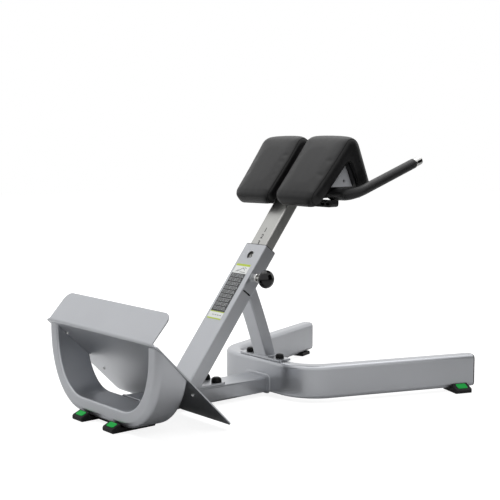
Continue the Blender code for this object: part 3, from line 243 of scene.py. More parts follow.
def powder_coat(name, base, metallic, roughness):
    """Polyester powder coat, sprayed and baked on steel.

    It shows a fine orange peel, tiny metal flakes that catch the light and a
    sheen that is never quite even.
    """
    material, tree, vector = new_material(name)
    clouds = noise(tree, vector, 160.0, 3.0)
    # flakes are under 0.1 mm and orange peel 1 mm; drawn at 0.8 and 2.2 mm so that they show
    flakes = noise(tree, vector, 0.8, 1.0, 0.7)
    peel = noise(tree, vector, 2.2)
    both = add_node(tree, "Math", operation="MULTIPLY_ADD", __0=flakes, __1=0.5, __2=clouds)
    return dress(material, (peel, 0.00008, 0.25), Metallic=metallic,
                 Base_Color=toned(tree, both.outputs[0], base, 0.055),
                 Roughness=spread(tree, flakes, roughness - 0.04, roughness + 0.04))


def plated_steel(name, base, roughness, grain_along=None):
    """Bright plate on drawn steel; a draw direction leaves faint lines along the tube."""
    material, tree, vector = new_material(name)
    haze = noise(tree, vector, 45.0)
    if grain_along is not None:
        vector = object_space(tree, (0.02, 1.0, 1.0), (0.0, grain_along, 0.0))
    lines = noise(tree, vector, 0.9, 3.0, 0.6)
    return dress(material, (lines, 0.00003, 0.25), Metallic=1.0,
                 Base_Color=toned(tree, haze, base, 0.06),
                 Roughness=spread(tree, lines, roughness * 0.75, roughness * 1.3))


def moulded_rubber(name, base, roughness, grain_mm, depth):
    """Moulded rubber: dull, with a sandblasted mould texture, drawn coarser than its 0.3 mm."""
    material, tree, vector = new_material(name)
    grain = noise(tree, vector, grain_mm, 2.0, 0.6)
    bloom = noise(tree, vector, 35.0)
    return dress(material, (grain, depth, 0.5), Specular_IOR_Level=0.35,
                 Base_Color=toned(tree, bloom, base, 0.12),
                 Roughness=spread(tree, bloom, roughness - 0.05, roughness + 0.06))


def moulded_abs(name, base, roughness):
    """Injection-moulded plastic, with the even spark-eroded texture of its mould."""
    material, tree, vector = new_material(name)
    # the texture of a real mould is about 0.1 mm; drawn at 0.7 mm so that it shows
    grain = noise(tree, vector, 0.7)
    cloud = noise(tree, vector, 30.0)
    return dress(material, (grain, 0.00004, 0.4), Specular_IOR_Level=0.18,
                 Base_Color=toned(tree, cloud, base, 0.06),
                 Roughness=spread(tree, grain, roughness - 0.04, roughness + 0.05))


def phenolic_resin(name, base):
    """Pressed phenolic resin of a ball knob: deep black and highly polished."""
    material, tree, vector = new_material(name)
    haze = noise(tree, vector, 9.0)
    return dress(material, IOR=1.45, Base_Color=toned(tree, haze, base, 0.1),
                 Roughness=spread(tree, haze, 0.03, 0.08))


def upholstery_vinyl(name, base):
    """PVC-coated fabric over foam: an embossed leather grain and soft, broad highlights."""
    material, tree, vector = new_material(name)
    # an embossed grain cell is about 1 mm; drawn at 1.8 mm so that it shows
    cells = add_node(tree, "TexVoronoi", feature="DISTANCE_TO_EDGE", Vector=vector,
                     Scale=per_mm(1.8), Randomness=1.0)
    creases = spread(tree, cells.outputs["Distance"], 0.0, 1.0)
    clouds = noise(tree, vector, 90.0)
    return dress(material, (creases, 0.00012, 0.3), Specular_IOR_Level=0.36,
                 Base_Color=toned(tree, clouds, base, 0.06),
                 Roughness=spread(tree, clouds, 0.36, 0.44))


def printed_film(name, base):
    """Printed polyester film, laminated: flat colour under a thin satin skin."""
    material, tree, vector = new_material(name)
    haze = noise(tree, vector, 12.0)
    return dress(material, Base_Color=toned(tree, haze, base, 0.03), Roughness=0.35,
                 Coat_Weight=0.25, Coat_Roughness=0.2)


# The finish of each CAD material slot, and those that only some pieces have
FINISHES = {}


def make_finishes(colours):
    # recipe, name of the material, its colour, and the recipe's measures
    recipes = {
        "silver_paint": (powder_coat, "silver_powder_coat", colours.frame_paint, 0.80, 0.30),
        "gusset_paint": (powder_coat, "satin_silver_coat", colours.gusset_paint, 0.10, 0.50),
        "black_paint": (powder_coat, "black_powder_coat", colours.black_paint, 0.0, 0.42),
        "plated_steel": (plated_steel, "nickel_plated_tube", colours.plating, 0.30, TILT),
        "bright_steel": (plated_steel, "chromed_steel", colours.chrome, 0.12),
        "foot_rubber": (moulded_rubber, "foot_rubber", colours.rubber, 0.62, 0.9, 0.0001),
        "mat_rubber": (moulded_rubber, "mat_rubber", colours.rubber, 0.75, 1.4, 0.0002),
        "grip_rubber": (moulded_rubber, "grip_rubber", colours.grip_rubber, 0.40, 0.9, 0.0001),
        "black_plastic": (moulded_abs, "black_abs", colours.plastic, 0.46),
        "green_insert": (moulded_abs, "green_polypropylene", colours.insert, 0.42),
        "knob_plastic": (phenolic_resin, "phenolic_resin", linear("#070708")),
        "black_vinyl": (upholstery_vinyl, "upholstery_vinyl", colours.vinyl),
        "piping": (moulded_abs, "vinyl_piping", linear("#050505"), 0.50),
        "label_lime": (printed_film, "label_lime_print", colours.label_lime),
        "label_white": (printed_film, "label_white_print", linear("#EEF0EE")),
        "label_panel": (printed_film, "label_panel_print", colours.label_panel),
        "label_line": (printed_film, "label_line_print", linear("#B4B7B8")),
        "ink": (printed_film, "black_ink", linear("#101010")),
    }
    for finish, (recipe, name, base, *measures) in recipes.items():
        FINISHES[finish] = recipe(name, base[:], *measures)


# Small helpers for modelling with operators

def object_mode():
    if bpy.context.object and bpy.context.object.mode != "OBJECT":
        bpy.ops.object.mode_set(mode="OBJECT")


def clear_choice():
    """Leave edit mode and deselect every object."""
    object_mode()
    bpy.ops.object.select_all(action="DESELECT")


def choose(obj):
    """Make one object the only selected and active one."""
    clear_choice()
    obj.select_set(True)
    bpy.context.view_layer.objects.active = obj


def edit(obj):
    """Enter edit mode on one object, with all of it selected."""
    choose(obj)
    bpy.ops.object.mode_set(mode="EDIT")
    select_all_mesh()


def select_all_mesh():
    bpy.ops.mesh.select_all(action="SELECT")


def apply_place():
    bpy.ops.object.transform_apply(location=True, rotation=True, scale=True)


def modify(obj, kind, **settings):
    """Add a modifier and apply it."""
    choose(obj)
    modifier = obj.modifiers.new(kind.lower(), kind)
    adjust(modifier, **settings)
    bpy.ops.object.modifier_apply(modifier=modifier.name)


def settle(obj, name, slot, body, replaced=None, finish=None, smooth=35.0):
    """Name a finished piece, put its place in its mesh, and let it ride.

    It has its slot's finish, unless another one is named.
    """
    choose(obj)
    apply_place()
    bpy.ops.object.shade_smooth_by_angle(angle=math.radians(smooth))
    # large flat faces stay flat beside their rounded edges
    modify(obj, "WEIGHTED_NORMAL", keep_sharp=True, weight=100)
    obj.name = name
    obj.data.name = name
    obj.data.materials.clear()
    obj.data.materials.append(FINISHES[finish or slot])
    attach(obj, body)
    if replaced:
        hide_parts(replaced)


def new_object(name, points, faces):
    """Mesh through given points, for an outline that no primitive has."""
    mesh = bpy.data.meshes.new(name)
    mesh.from_pydata([tuple(p) for p in points], [], faces)
    obj = bpy.data.objects.new(name, mesh)
    bpy.context.scene.collection.objects.link(obj)
    return obj


def copied_solid(node):
    """Merged copy of a CAD node's mesh, for shapes that follow the solid exactly."""
    copy = bpy.data.objects.new(node + "_copy", frame["nodes"][node].data.copy())
    bpy.context.scene.collection.objects.link(copy)
    edit(copy)
    bpy.ops.mesh.remove_doubles(threshold=0.00001)
    object_mode()
    return copy


def select_where(obj, kind, test):
    """In edit mode, select the verts, edges or faces that pass a test."""
    bpy.ops.mesh.select_mode(type={"verts": "VERT", "edges": "EDGE", "faces": "FACE"}[kind])
    bpy.ops.mesh.select_all(action="DESELECT")
    mesh = bmesh.from_edit_mesh(obj.data)
    for element in getattr(mesh, kind):
        element.select_set(test(element))
    mesh.select_flush_mode()
    bmesh.update_edit_mesh(obj.data)


def turned_to(heading, up):
    """Rotation that lays Z along a heading and Y along up."""
    return Matrix((up.cross(heading), up, heading)).transposed().to_euler()


def begin_face(width=1.0, height=1.0):
    """Scale the new flat primitive, apply its place, and select it in edit mode."""
    obj = bpy.context.object
    obj.scale = (width, height, 1.0)
    apply_place()
    edit(obj)
    return obj


def rounded_face(start, heading, up, width, height, corner, segments=6):
    """Rounded rectangle at the start of a tube; its height is along up."""
    clear_choice()
    bpy.ops.mesh.primitive_plane_add(size=1.0, location=start, rotation=turned_to(heading, up))
    obj = begin_face(width, height)
    bpy.ops.mesh.bevel(offset=corner, segments=segments, affect="VERTICES")
    select_all_mesh()
    return obj


def round_face(start, heading, radius, sides):
    """Disc at the start of a round bar."""
    clear_choice()
    turn = turned_to(heading, heading.cross(Y_AXIS))
    bpy.ops.mesh.primitive_circle_add(
        vertices=sides, radius=radius, fill_type="NGON", location=start, rotation=turn)
    return begin_face()


def block(location, size, rotation=(0.0, 0.0, 0.0), bevel=0.0, segments=2):
    """Rectangular block with bevelled edges, its size given edge to edge."""
    clear_choice()
    bpy.ops.mesh.primitive_cube_add(size=1.0, location=location, rotation=rotation)
    obj = bpy.context.object
    obj.scale = size
    apply_place()
    if bevel:
        edit(obj)
        bpy.ops.mesh.bevel(offset=bevel, segments=segments, affect="EDGES")
        object_mode()
    return obj


def push(value):
    """Extrude the selection."""
    bpy.ops.mesh.extrude_region_move(TRANSFORM_OT_translate={"value": value})


def turn_end(place, before, after, radius, steps):
    """Spin the selected end face round a bend, and return where it ends."""
    axis = before.cross(after).normalized()
    angle = before.angle(after)
    centre = place + axis.cross(before) * radius
    # spin turns the other way from the right-hand rule
    bpy.ops.mesh.spin(steps=steps, angle=-angle, center=centre, axis=axis)
    return centre + Matrix.Rotation(angle, 3, axis) @ (place - centre)


def round_cord(obj, radius):
    """Turn a line of edges into a round cord."""
    choose(obj)
    bpy.ops.object.convert(target="CURVE")
    obj.data.bevel_depth = radius
    obj.data.bevel_resolution = 3
    bpy.ops.object.convert(target="MESH")
    return bpy.context.object


def outward_normals(obj):
    edit(obj)
    bpy.ops.mesh.normals_make_consistent(inside=False)
    object_mode()


def joined(pieces):
    """Join objects into the first one."""
    choose(pieces[0])
    for piece in pieces[1:]:
        piece.select_set(True)
    if len(pieces) > 1:
        bpy.ops.object.join()
    return pieces[0]


def quarter_turn(steps):
    """Angles from 0 to 90 degrees in even steps."""
    return [math.radians(90.0 * i / steps) for i in range(steps + 1)]


def smooth_step(share):
    return share * share * (3 - 2 * share)


# Operators, one for each piece or group of like pieces

class BENCH_OT_finishes(bpy.types.Operator):
    """Give every CAD node the finish of its material slot; the gussets get a lighter, less
    metallic copy of the frame paint, which is painted light
    """
    bl_idname = "bench.finishes"
    bl_label = "Finish the frame"

    def execute(self, context):
        make_finishes(context.scene.bench_colours)
        for part in frame["record"]["subparts"]:
            node = frame["nodes"][part["node"]]
            is_gusset = part["node"].startswith("gusset")
            # the gussets' lighter copy of the frame paint is painted light on their shaded side
            finish = "gusset_paint" if is_gusset else part["material_slot"]
            node.data.materials.clear()
            node.data.materials.append(FINISHES[finish])
        return {"FINISHED"}


class BENCH_OT_hoop(bpy.types.Operator):
    """Front hoop: flat-oval tube bent to a U, cut off under the foot plate"""
    bl_idname = "bench.hoop"
    bl_label = "Bend the hoop"

    FRONT, DEPTH, THICK, HALF_WIDTH = 0.031, 0.108, 0.050, 0.296
    BEND_WIDTH, BEND_HEIGHT, SQUARENESS, STEPS = 0.192, 0.238, 2.17, 40
    ARM_EXCESS = 0.03
    OUTER_FRONT, OUTER_REAR, INNER = 0.020, 0.010, 0.007

    def execute(self, context):
        outer, inner = self.outlines()
        points = outer + inner[::-1]
        obj = new_object("hoop_tube", points, [tuple(range(len(points)))])
        edit(obj)
        push((self.DEPTH, 0.0, 0.0))
        front, rear = (at(s, 0.0, 0.0).x for s in (self.FRONT, self.FRONT + self.DEPTH))
        for x, line, radius in ((front, outer, self.OUTER_FRONT), (rear, outer, self.OUTER_REAR),
                                (front, inner, self.INNER), (rear, inner, self.INNER)):
            places = {self.key(p) for p in line}
            select_where(obj, "edges", lambda e: self.lies_on(e, x, places))
            bpy.ops.mesh.bevel(offset=radius, segments=6, affect="EDGES")
        select_all_mesh()
        bpy.ops.mesh.bisect(plane_co=FOLD + PLATE_UNDERSIDE * GAP, plane_no=-PLATE_UNDERSIDE,
                            use_fill=True, clear_outer=True)
        outward_normals(obj)
        settle(obj, "hoop_tube", "silver_paint", "frame", "front_hoop")
        return {"FINISHED"}

    def outlines(self):
        """Outer and inner outline of the U, from one arm's top to the other's."""
        power = 2 / self.SQUARENESS
        half = [(self.HALF_WIDTH, FOLD.z + self.ARM_EXCESS, -1.0, 0.0)]
        for turn in quarter_turn(self.STEPS):
            c, d = abs(math.cos(turn)), abs(math.sin(turn))
            y = self.HALF_WIDTH - self.BEND_WIDTH * (1 - c ** power)
            z = FOOT_RISE + self.BEND_HEIGHT * (1 - d ** power)
            ny, nz = -(c ** (2 - power)) / self.BEND_WIDTH, d ** (2 - power) / self.BEND_HEIGHT
            size = math.hypot(ny, nz)
            half.append((y, z, ny / size, nz / size))
        loop = half + [(-y, z, -ny, nz) for y, z, ny, nz in half][::-1]
        return ([at(self.FRONT, y, z) for y, z, _, _ in loop],
                [at(self.FRONT, y + ny * self.THICK, z + nz * self.THICK)
                 for y, z, ny, nz in loop])

    def key(self, place):
        return round(place.y, 4), round(place.z, 4)

    def lies_on(self, edge, x, places):
        """True for an edge in a front or rear plane, along the outer or inner line."""
        return all(abs(v.co.x - x) < 1e-5 and self.key(v.co) in places for v in edge.verts)


class BENCH_OT_foot_plate(bpy.types.Operator):
    """Foot plate: one sheet, folded, with round corners and a notch for the rail"""
    bl_idname = "bench.foot_plate"
    bl_label = "Fold the foot plate"

    FLANGE_LENGTH, FLANGE_HALF, FLANGE_CORNER = 0.106, 0.277, 0.030
    PLATE_LENGTH, PLATE_HALF, PLATE_CORNER = 0.3715, 0.297, 0.014
    ROW_ABOVE_FOLD, FOLD_REACH = 0.020, 0.009
    NOTCH_PLACE, NOTCH_SIZE, NOTCH_CORNER = at(0.27, 0.0, 0.021), (0.14, 0.104, 0.098), 0.012
    EDGE = 0.0007

    def execute(self, context):
        rows = self.rows()
        points = []
        for place, half in rows:
            points += [place + Y_AXIS * half, place - Y_AXIS * half]
        faces = [(2 * i, 2 * i + 1, 2 * i + 3, 2 * i + 2) for i in range(len(rows) - 1)]
        obj = new_object("foot_sheet", points, faces)
        outward_normals(obj)
        if obj.data.polygons[0].normal.dot(UP_FLANGE.cross(Y_AXIS)) < 0:
            edit(obj)
            bpy.ops.mesh.flip_normals()
        modify(obj, "SOLIDIFY", thickness=SHEET, offset=-1.0)
        notch = block(self.NOTCH_PLACE, self.NOTCH_SIZE, bevel=self.NOTCH_CORNER, segments=4)
        modify(obj, "BOOLEAN", object=notch, operation="DIFFERENCE", solver="EXACT")
        bpy.data.objects.remove(notch)
        modify(obj, "BEVEL", width=self.EDGE, segments=2, limit_method="ANGLE",
               angle_limit=math.radians(60))
        settle(obj, "foot_sheet", "silver_paint", "frame", "foot_plate")
        return {"FINISHED"}

    def rows(self):
        """Places and half widths down the sheet, from the flange's free edge."""
        rows = self.corner(UP_FLANGE, self.FLANGE_LENGTH, self.FLANGE_HALF, self.FLANGE_CORNER,
                           quarter_turn(10))
        rows.append((FOLD + UP_FLANGE * self.ROW_ABOVE_FOLD, self.FLANGE_HALF))
        reach, widening = self.FOLD_REACH, self.PLATE_HALF - self.FLANGE_HALF
        for i in range(9):
            t = i / 8
            # the outside of the fold follows a curve that touches both planes
            bend = UP_FLANGE * (reach * (1 - t) ** 2) + DOWN_PLATE * (reach * t ** 2)
            rows.append((FOLD + bend, self.FLANGE_HALF + widening * smooth_step(t)))
        return rows + self.corner(DOWN_PLATE, self.PLATE_LENGTH, self.PLATE_HALF,
                                  self.PLATE_CORNER, quarter_turn(8)[::-1])

    def corner(self, along, length, half, radius, turns):
        """Rows round the corners at the free end of the flange or the plate."""
        return [(FOLD + along * (length - radius * (1 - math.cos(turn))),
                 half - radius * (1 - math.sin(turn))) for turn in turns]


class BENCH_OT_foot_mat(bpy.types.Operator):
    """Ribbed rubber mat on the foot plate, and the screws that hold it"""
    bl_idname = "bench.foot_mat"
    bl_label = "Lay the foot mat"

    START, END, HALF, CORNER, THICK = 0.040, 0.262, 0.262, 0.020, 0.003
    RIBS, FIRST_RIB, RIB_PITCH, RIB_INSET = 20, 0.013, 0.010, 0.010
    RIB_WIDTH, RIB_HEIGHT, RIB_EDGE, RIB_SUNK = 0.0055, 0.002, 0.0007, 0.0004
    # ribs beside the mat's round corners are shorter by this share of the corner
    CORNER_SHARE = 0.55
    SCREWS_ALONG, SCREW_Y, HEAD_RADIUS, HEAD_HEIGHT = (0.060, 0.242), 0.235, 0.0042, 0.0035
    HEAD_LIFT, HEAD_EDGE, RECESS = 0.0018, 0.0012, 0.0012

    def execute(self, context):
        up = -PLATE_UNDERSIDE
        middle = FOLD + DOWN_PLATE * ((self.START + self.END) / 2) + up * (SHEET + GAP)
        pieces = [rounded_face(middle, up, -DOWN_PLATE, self.HALF * 2, self.END - self.START,
                               self.CORNER)]
        push(up * self.THICK)
        turn = turned_to(up, -DOWN_PLATE)
        rise = SHEET + GAP + self.THICK + self.RIB_HEIGHT / 2 - self.RIB_SUNK
        for i in range(self.RIBS):
            along = self.START + self.FIRST_RIB + i * self.RIB_PITCH
            edge = min(along - self.START, self.END - along)
            drawn_in = max(0.0, self.CORNER - edge) * self.CORNER_SHARE
            size = (2 * (self.HALF - self.RIB_INSET - drawn_in), self.RIB_WIDTH, self.RIB_HEIGHT)
            place = FOLD + DOWN_PLATE * along + up * rise
            pieces.append(block(place, size, turn, self.RIB_EDGE))
        settle(joined(pieces), "ribbed_mat", "mat_rubber", "frame", "foot_mat")
        heads = [self.screw(along, y) for along in self.SCREWS_ALONG
                 for y in (self.SCREW_Y, -self.SCREW_Y)]
        settle(joined(heads), "mat_screws", "bright_steel", "frame")
        return {"FINISHED"}

    def screw(self, along, y):
        """Pan head on the plate's underside, where a screw of the mat ends."""
        clear_choice()
        place = FOLD + DOWN_PLATE * along + PLATE_UNDERSIDE * self.HEAD_LIFT
        bpy.ops.mesh.primitive_cylinder_add(
            vertices=24, radius=self.HEAD_RADIUS, depth=self.HEAD_HEIGHT,
            location=place + Y_AXIS * y, rotation=turned_to(PLATE_UNDERSIDE, DOWN_PLATE))
        head = bpy.context.object
        apply_place()
        edit(head)
        select_where(head, "faces", lambda f: f.normal.dot(PLATE_UNDERSIDE) > 0.9)
        bpy.ops.mesh.bevel(offset=self.HEAD_EDGE, segments=3, affect="EDGES")
        select_where(head, "faces", lambda f: f.normal.dot(PLATE_UNDERSIDE) > 0.99)
        bpy.ops.mesh.inset(thickness=0.0010, depth=0.0)
        bpy.ops.mesh.inset(thickness=0.0002, depth=-self.RECESS)
        object_mode()
        return head


class BENCH_OT_rear_legs(bpy.types.Operator):
    """Rear base: one tube with rounded corners, bent twice so that its legs splay"""
    bl_idname = "bench.rear_legs"
    bl_label = "Bend the rear legs"

    END = at(1.2225, 0.3996, FOOT_RISE + 0.053)
    WIDTH, HEIGHT, CORNER = 0.050, 0.106, 0.013
    SPLAY, LEG_RUN, BEND, STRAIGHT, STEPS = math.radians(19.9), 0.5165, 0.121, 0.220, 24

    def execute(self, context):
        inward = Vector((-math.cos(self.SPLAY), -math.sin(self.SPLAY), 0.0))
        outward = Vector((math.cos(self.SPLAY), -math.sin(self.SPLAY), 0.0))
        obj = rounded_face(self.END, inward, Z_AXIS, self.WIDTH, self.HEIGHT, self.CORNER)
        push(inward * self.LEG_RUN)
        place = turn_end(self.END + inward * self.LEG_RUN, inward, -Y_AXIS, self.BEND, self.STEPS)
        push(-Y_AXIS * self.STRAIGHT)
        turn_end(place - Y_AXIS * self.STRAIGHT, -Y_AXIS, outward, self.BEND, self.STEPS)
        push(outward * self.LEG_RUN)
        outward_normals(obj)
        settle(obj, "leg_tube", "silver_paint", "frame", "rear_legs")
        return {"FINISHED"}


class BENCH_OT_welds(bpy.types.Operator):
    """Weld beads under the paint, where tubes and plates of the frame meet"""
    bl_idname = "bench.welds"
    bl_label = "Weld the frame"

    AHEAD = Vector((-1.0, 0.0, 0.0))
    # centre, heading, up, width, height, corner, and radius as a share of the weld's width:
    # rail flange, rail on the hoop, sleeve's foot, strut's foot and strut's head
    BEADS = (
        (at(0.6322, 0.0, 0.0410), AHEAD, Z_AXIS, 0.119, 0.058, 0.013, 0.62),
        (at(0.1395, 0.0, 0.0385), AHEAD, Z_AXIS, 0.094, 0.051, 0.006, 0.5),
        (at(0.3322, 0.0, 0.0716), Z_AXIS, AHEAD, 0.0905, 0.0630, 0.004, 0.42),
        (at(0.6640, 0.0, 0.1258), Z_AXIS, AHEAD, 0.0630, 0.0420, 0.004, 0.42),
        (on_post(0.0256, 0.0, -0.1392), POST_REARWARD, UP_POST, 0.0630, 0.0456, 0.004, 0.42),
    )

    def execute(self, context):
        width = context.scene.bench_sizes.weld_width
        beads = [self.bead(*outline, width * share) for *outline, share in self.BEADS]
        settle(joined(beads), "weld_beads", "silver_paint", "frame")
        return {"FINISHED"}

    def bead(self, centre, heading, up, width, height, corner, radius):
        """Round bead along the outline of a rounded rectangle."""
        obj = rounded_face(centre, heading, up, width, height, corner, 4)
        bpy.ops.mesh.delete(type="ONLY_FACE")
        return round_cord(obj, radius)


class BENCH_OT_handlebar(bpy.types.Operator):
    """Handlebar tube, with its rubber grips and chromed end caps"""
    bl_idname = "bench.handlebar"
    bl_label = "Bend the handlebar"

    STATION, HEIGHT, HALF = 0.8250, 0.6555, 0.245
    RISE, RUN, RADIUS, BEND = math.radians(19.0), 0.276, 0.0125, 0.050
    GRIP_RADIUS, GRIP_LIP, GRIP_STEPS = 0.0165, 0.0012, 14
    # the grip reaches this share of its root's thickness within the bend
    ROOT_RADIUS, ROOT_Y, ROOT_SHARE, ROOT_LIP, ROOT_EDGE = 0.0212, 0.141, 0.86, 0.0015, 0.93
    CAP_RADIUS = 0.0148
    CAP_PROFILE = ((0.0003, 0.93), (0.0012, 1.0), (0.0042, 1.0), (0.0050, 0.955), (0.0060, 0.955),
                   (0.0068, 1.0), (0.0295, 1.0), (0.0318, 0.965), (0.0332, 0.90), (0.0340, 0.80))

    def execute(self, context):
        tips = {side: at(self.STATION + self.RUN, side * self.HALF,
                         self.HEIGHT + self.RUN * math.tan(self.RISE)) for side in (1, -1)}
        inward = -sloping(self.RISE)
        run = self.RUN / math.cos(self.RISE) - self.BEND
        across = 2 * (self.HALF - self.BEND)
        bar = round_face(tips[1], inward, self.RADIUS, 32)
        push(inward * run)
        place = turn_end(tips[1] + inward * run, inward, -Y_AXIS, self.BEND, 16)
        push(-Y_AXIS * across)
        turn_end(place - Y_AXIS * across, -Y_AXIS, -inward, self.BEND, 16)
        push(-inward * run)
        outward_normals(bar)
        settle(bar, "handlebar_tube", "black_paint", "post", "handlebar")
        for side, word in ((1, "left"), (-1, "right")):
            self.grip(word, side, tips[side], inward, run)
            self.cap(word, tips[side], -inward)
        return {"FINISHED"}

    def grip(self, word, side, tip, inward, run):
        """Rubber sleeve that thickens through the bend towards its root."""
        lip, to_middle = self.GRIP_LIP, -Y_AXIS * side
        obj = round_face(tip, inward, self.GRIP_RADIUS - lip, 40)
        push(inward * lip)
        self.swell(tip + inward * lip, self.GRIP_RADIUS / (self.GRIP_RADIUS - lip))
        push(inward * (run - lip))
        place = tip + inward * run
        final = self.ROOT_RADIUS / self.GRIP_RADIUS
        ahead, radius = inward.copy(), 1.0
        axis = inward.cross(to_middle).normalized()
        for i in range(self.GRIP_STEPS):
            after = Matrix.Rotation(math.pi / 2 / self.GRIP_STEPS, 3, axis) @ ahead
            place = turn_end(place, ahead, after, self.BEND, 1)
            share = smooth_step((i + 1) / self.GRIP_STEPS)
            wanted = 1.0 + (final - 1.0) * self.ROOT_SHARE * share
            self.swell(place, wanted / radius)
            ahead, radius = after, wanted
        rest = self.HALF - self.BEND - self.ROOT_Y - self.ROOT_LIP
        push(to_middle * rest)
        place += to_middle * rest
        self.swell(place, final / radius)
        push(to_middle * self.ROOT_LIP)
        self.swell(place + to_middle * self.ROOT_LIP, self.ROOT_EDGE)
        outward_normals(obj)
        settle(obj, "grip_sleeve_" + word, "grip_rubber", "post", "grip_" + word)

    def swell(self, place, factor):
        bpy.ops.transform.resize(value=(factor, factor, factor), center_override=place)

    def cap(self, word, tip, outward):
        """Turned cap: a rolled edge, a shallow groove and a dished end."""
        reached, before = self.CAP_PROFILE[0]
        obj = round_face(tip + outward * reached, outward, self.CAP_RADIUS * before, 48)
        for distance, share in self.CAP_PROFILE[1:]:
            push(outward * (distance - reached))
            self.swell(tip + outward * distance, share / before)
            reached, before = distance, share
        bpy.ops.mesh.inset(thickness=0.0030, depth=0.0)
        bpy.ops.mesh.inset(thickness=0.0016, depth=-0.0012)
        outward_normals(obj)
        settle(obj, "grip_end_" + word, "bright_steel", "post", "grip_cap_" + word, smooth=28.0)


class BENCH_OT_knob(bpy.types.Operator):
    """Flattened ball knob of the pull pin, with its neck"""
    bl_idname = "bench.knob"
    bl_label = "Turn the knob"

    RADIUS, HALF_LENGTH, CENTRE, PIN_DROP = 0.0290, 0.0200, 0.1035, 0.107
    NECK_FROM, NECK_LENGTH, NECK_END, NECK_TAPER = 0.90, 0.0085, 0.0792, 0.92

    def execute(self, context):
        clear_choice()
        place = on_post(0.0, -self.CENTRE, -self.PIN_DROP)
        bpy.ops.mesh.primitive_uv_sphere_add(
            segments=48, ring_count=32, radius=self.RADIUS, location=place,
            rotation=(math.radians(-90), 0.0, 0.0))
        obj = context.object
        obj.scale = (1.0, 1.0, self.HALF_LENGTH / self.RADIUS)
        apply_place()
        edit(obj)
        near = place.y + self.HALF_LENGTH * self.NECK_FROM
        select_where(obj, "faces", lambda f: f.calc_center_median().y > near)
        push((0.0, self.NECK_LENGTH, 0.0))
        # a size of zero along the pin lays the neck's end flat
        bpy.ops.transform.resize(value=(self.NECK_TAPER, 0.0, self.NECK_TAPER),
                                 center_override=on_post(0.0, -self.NECK_END, -self.PIN_DROP))
        outward_normals(obj)
        settle(obj, "ball_knob", "knob_plastic", "pin", "pin_knob", smooth=50.0)
        return {"FINISHED"}


class BENCH_OT_pads(bpy.types.Operator):
    """Hip pads: foam under tight vinyl, blown up a little from the CAD solids"""
    bl_idname = "bench.pads"
    bl_label = "Upholster the pads"

    DOWN_REAR = sloping(math.radians(-65.0))
    REAR_FROM_X, REAR_END, REAR_LIFT = 0.15, 0.034, 0.009
    SIDE_FACING, SEAM_RADIUS = 0.72, 0.0013
    # skin nearer to the board than the difference of these two is held fast
    HELD_REACH, HELD_FADE = 0.014, 0.008

    def execute(self, context):
        sizes = context.scene.bench_sizes
        for word in ("left", "right"):
            pad = copied_solid("hip_pad_" + word)
            self.draw_up_rear_end(pad)
            pad.data.remesh_voxel_size = sizes.remesh_voxel
            bpy.ops.object.voxel_remesh()
            modify(pad, "SMOOTH", factor=0.5, iterations=2)
            modify(pad, "DISPLACE", strength=-sizes.pad_shrink, mid_level=0.0)
            self.blow_up(context.scene, pad, word, sizes)
            modify(pad, "SMOOTH", factor=0.5, iterations=5)
            modify(pad, "DISPLACE", strength=sizes.pad_plump, mid_level=0.0)
            modify(pad, "SUBSURF", levels=1, render_levels=1)
            seams = self.seams(pad)
            settle(pad, "upholstered_pad_" + word, "black_vinyl", "post", "hip_pad_" + word,
                   smooth=80.0)
            settle(seams, "pad_seams_" + word, "black_vinyl", "post", finish="piping")
        return {"FINISHED"}

    def draw_up_rear_end(self, pad):
        """Draw the rear end up a little, so that it ends behind the grip."""
        edit(pad)
        down = self.DOWN_REAR
        tip = max(v.co.dot(down) for v in bmesh.from_edit_mesh(pad.data).verts)
        limit = tip - self.REAR_END
        select_where(pad, "verts", lambda v: v.co.x > self.REAR_FROM_X and v.co.dot(down) > limit)
        bpy.ops.transform.translate(value=down * -self.REAR_LIFT)
        object_mode()

    def seams(self, pad):
        """Piping round each side panel: the panel's rim, made a thin round cord."""
        choose(pad)
        bpy.ops.object.duplicate()
        rim = bpy.context.object
        edit(rim)
        select_where(rim, "faces", lambda f: abs(f.normal.y) > self.SIDE_FACING)
        bpy.ops.mesh.region_to_loop()
        bpy.ops.mesh.select_all(action="INVERT")
        bpy.ops.mesh.delete(type="EDGE_FACE")
        modify(rim, "SMOOTH", factor=0.5, iterations=14)
        modify(rim, "SHRINKWRAP", target=pad, wrap_method="NEAREST_SURFACEPOINT")
        return round_cord(rim, self.SEAM_RADIUS)

    def blow_up(self, scene, pad, word, sizes):
        """Swell the skin by cloth pressure; the side on the board stays in place."""
        board = frame["nodes"]["pad_board_" + word].data
        tree = BVHTree.FromPolygons([v.co for v in board.vertices],
                                    [p.vertices for p in board.polygons])
        held = pad.vertex_groups.new(name="held")
        start = [v.co.copy() for v in pad.data.vertices]
        for index, place in enumerate(start):
            distance = tree.find_nearest(place)[3]
            weight = min(max((self.HELD_REACH - distance) / self.HELD_FADE, 0.0), 1.0)
            held.add([index], weight, "REPLACE")
        choose(pad)
        cloth = pad.modifiers.new("skin", "CLOTH")
        adjust(cloth.settings, quality=5, mass=0.4, tension_stiffness=60.0,
               compression_stiffness=60.0, shear_stiffness=40.0, bending_stiffness=60.0,
               use_pressure=True, uniform_pressure_force=sizes.pad_pressure,
               vertex_group_mass="held")
        cloth.settings.effector_weights.gravity = 0.0
        cloth.collision_settings.use_collision = False
        for moment in range(1, 21):
            scene.frame_set(moment)
        bpy.ops.object.modifier_apply(modifier=cloth.name)
        for vertex, place in zip(pad.data.vertices, start):
            move = vertex.co - place
            if move.length > sizes.pad_cap:
                vertex.co = place + move.normalized() * sizes.pad_cap
        scene.frame_set(1)
        pad.vertex_groups.clear()


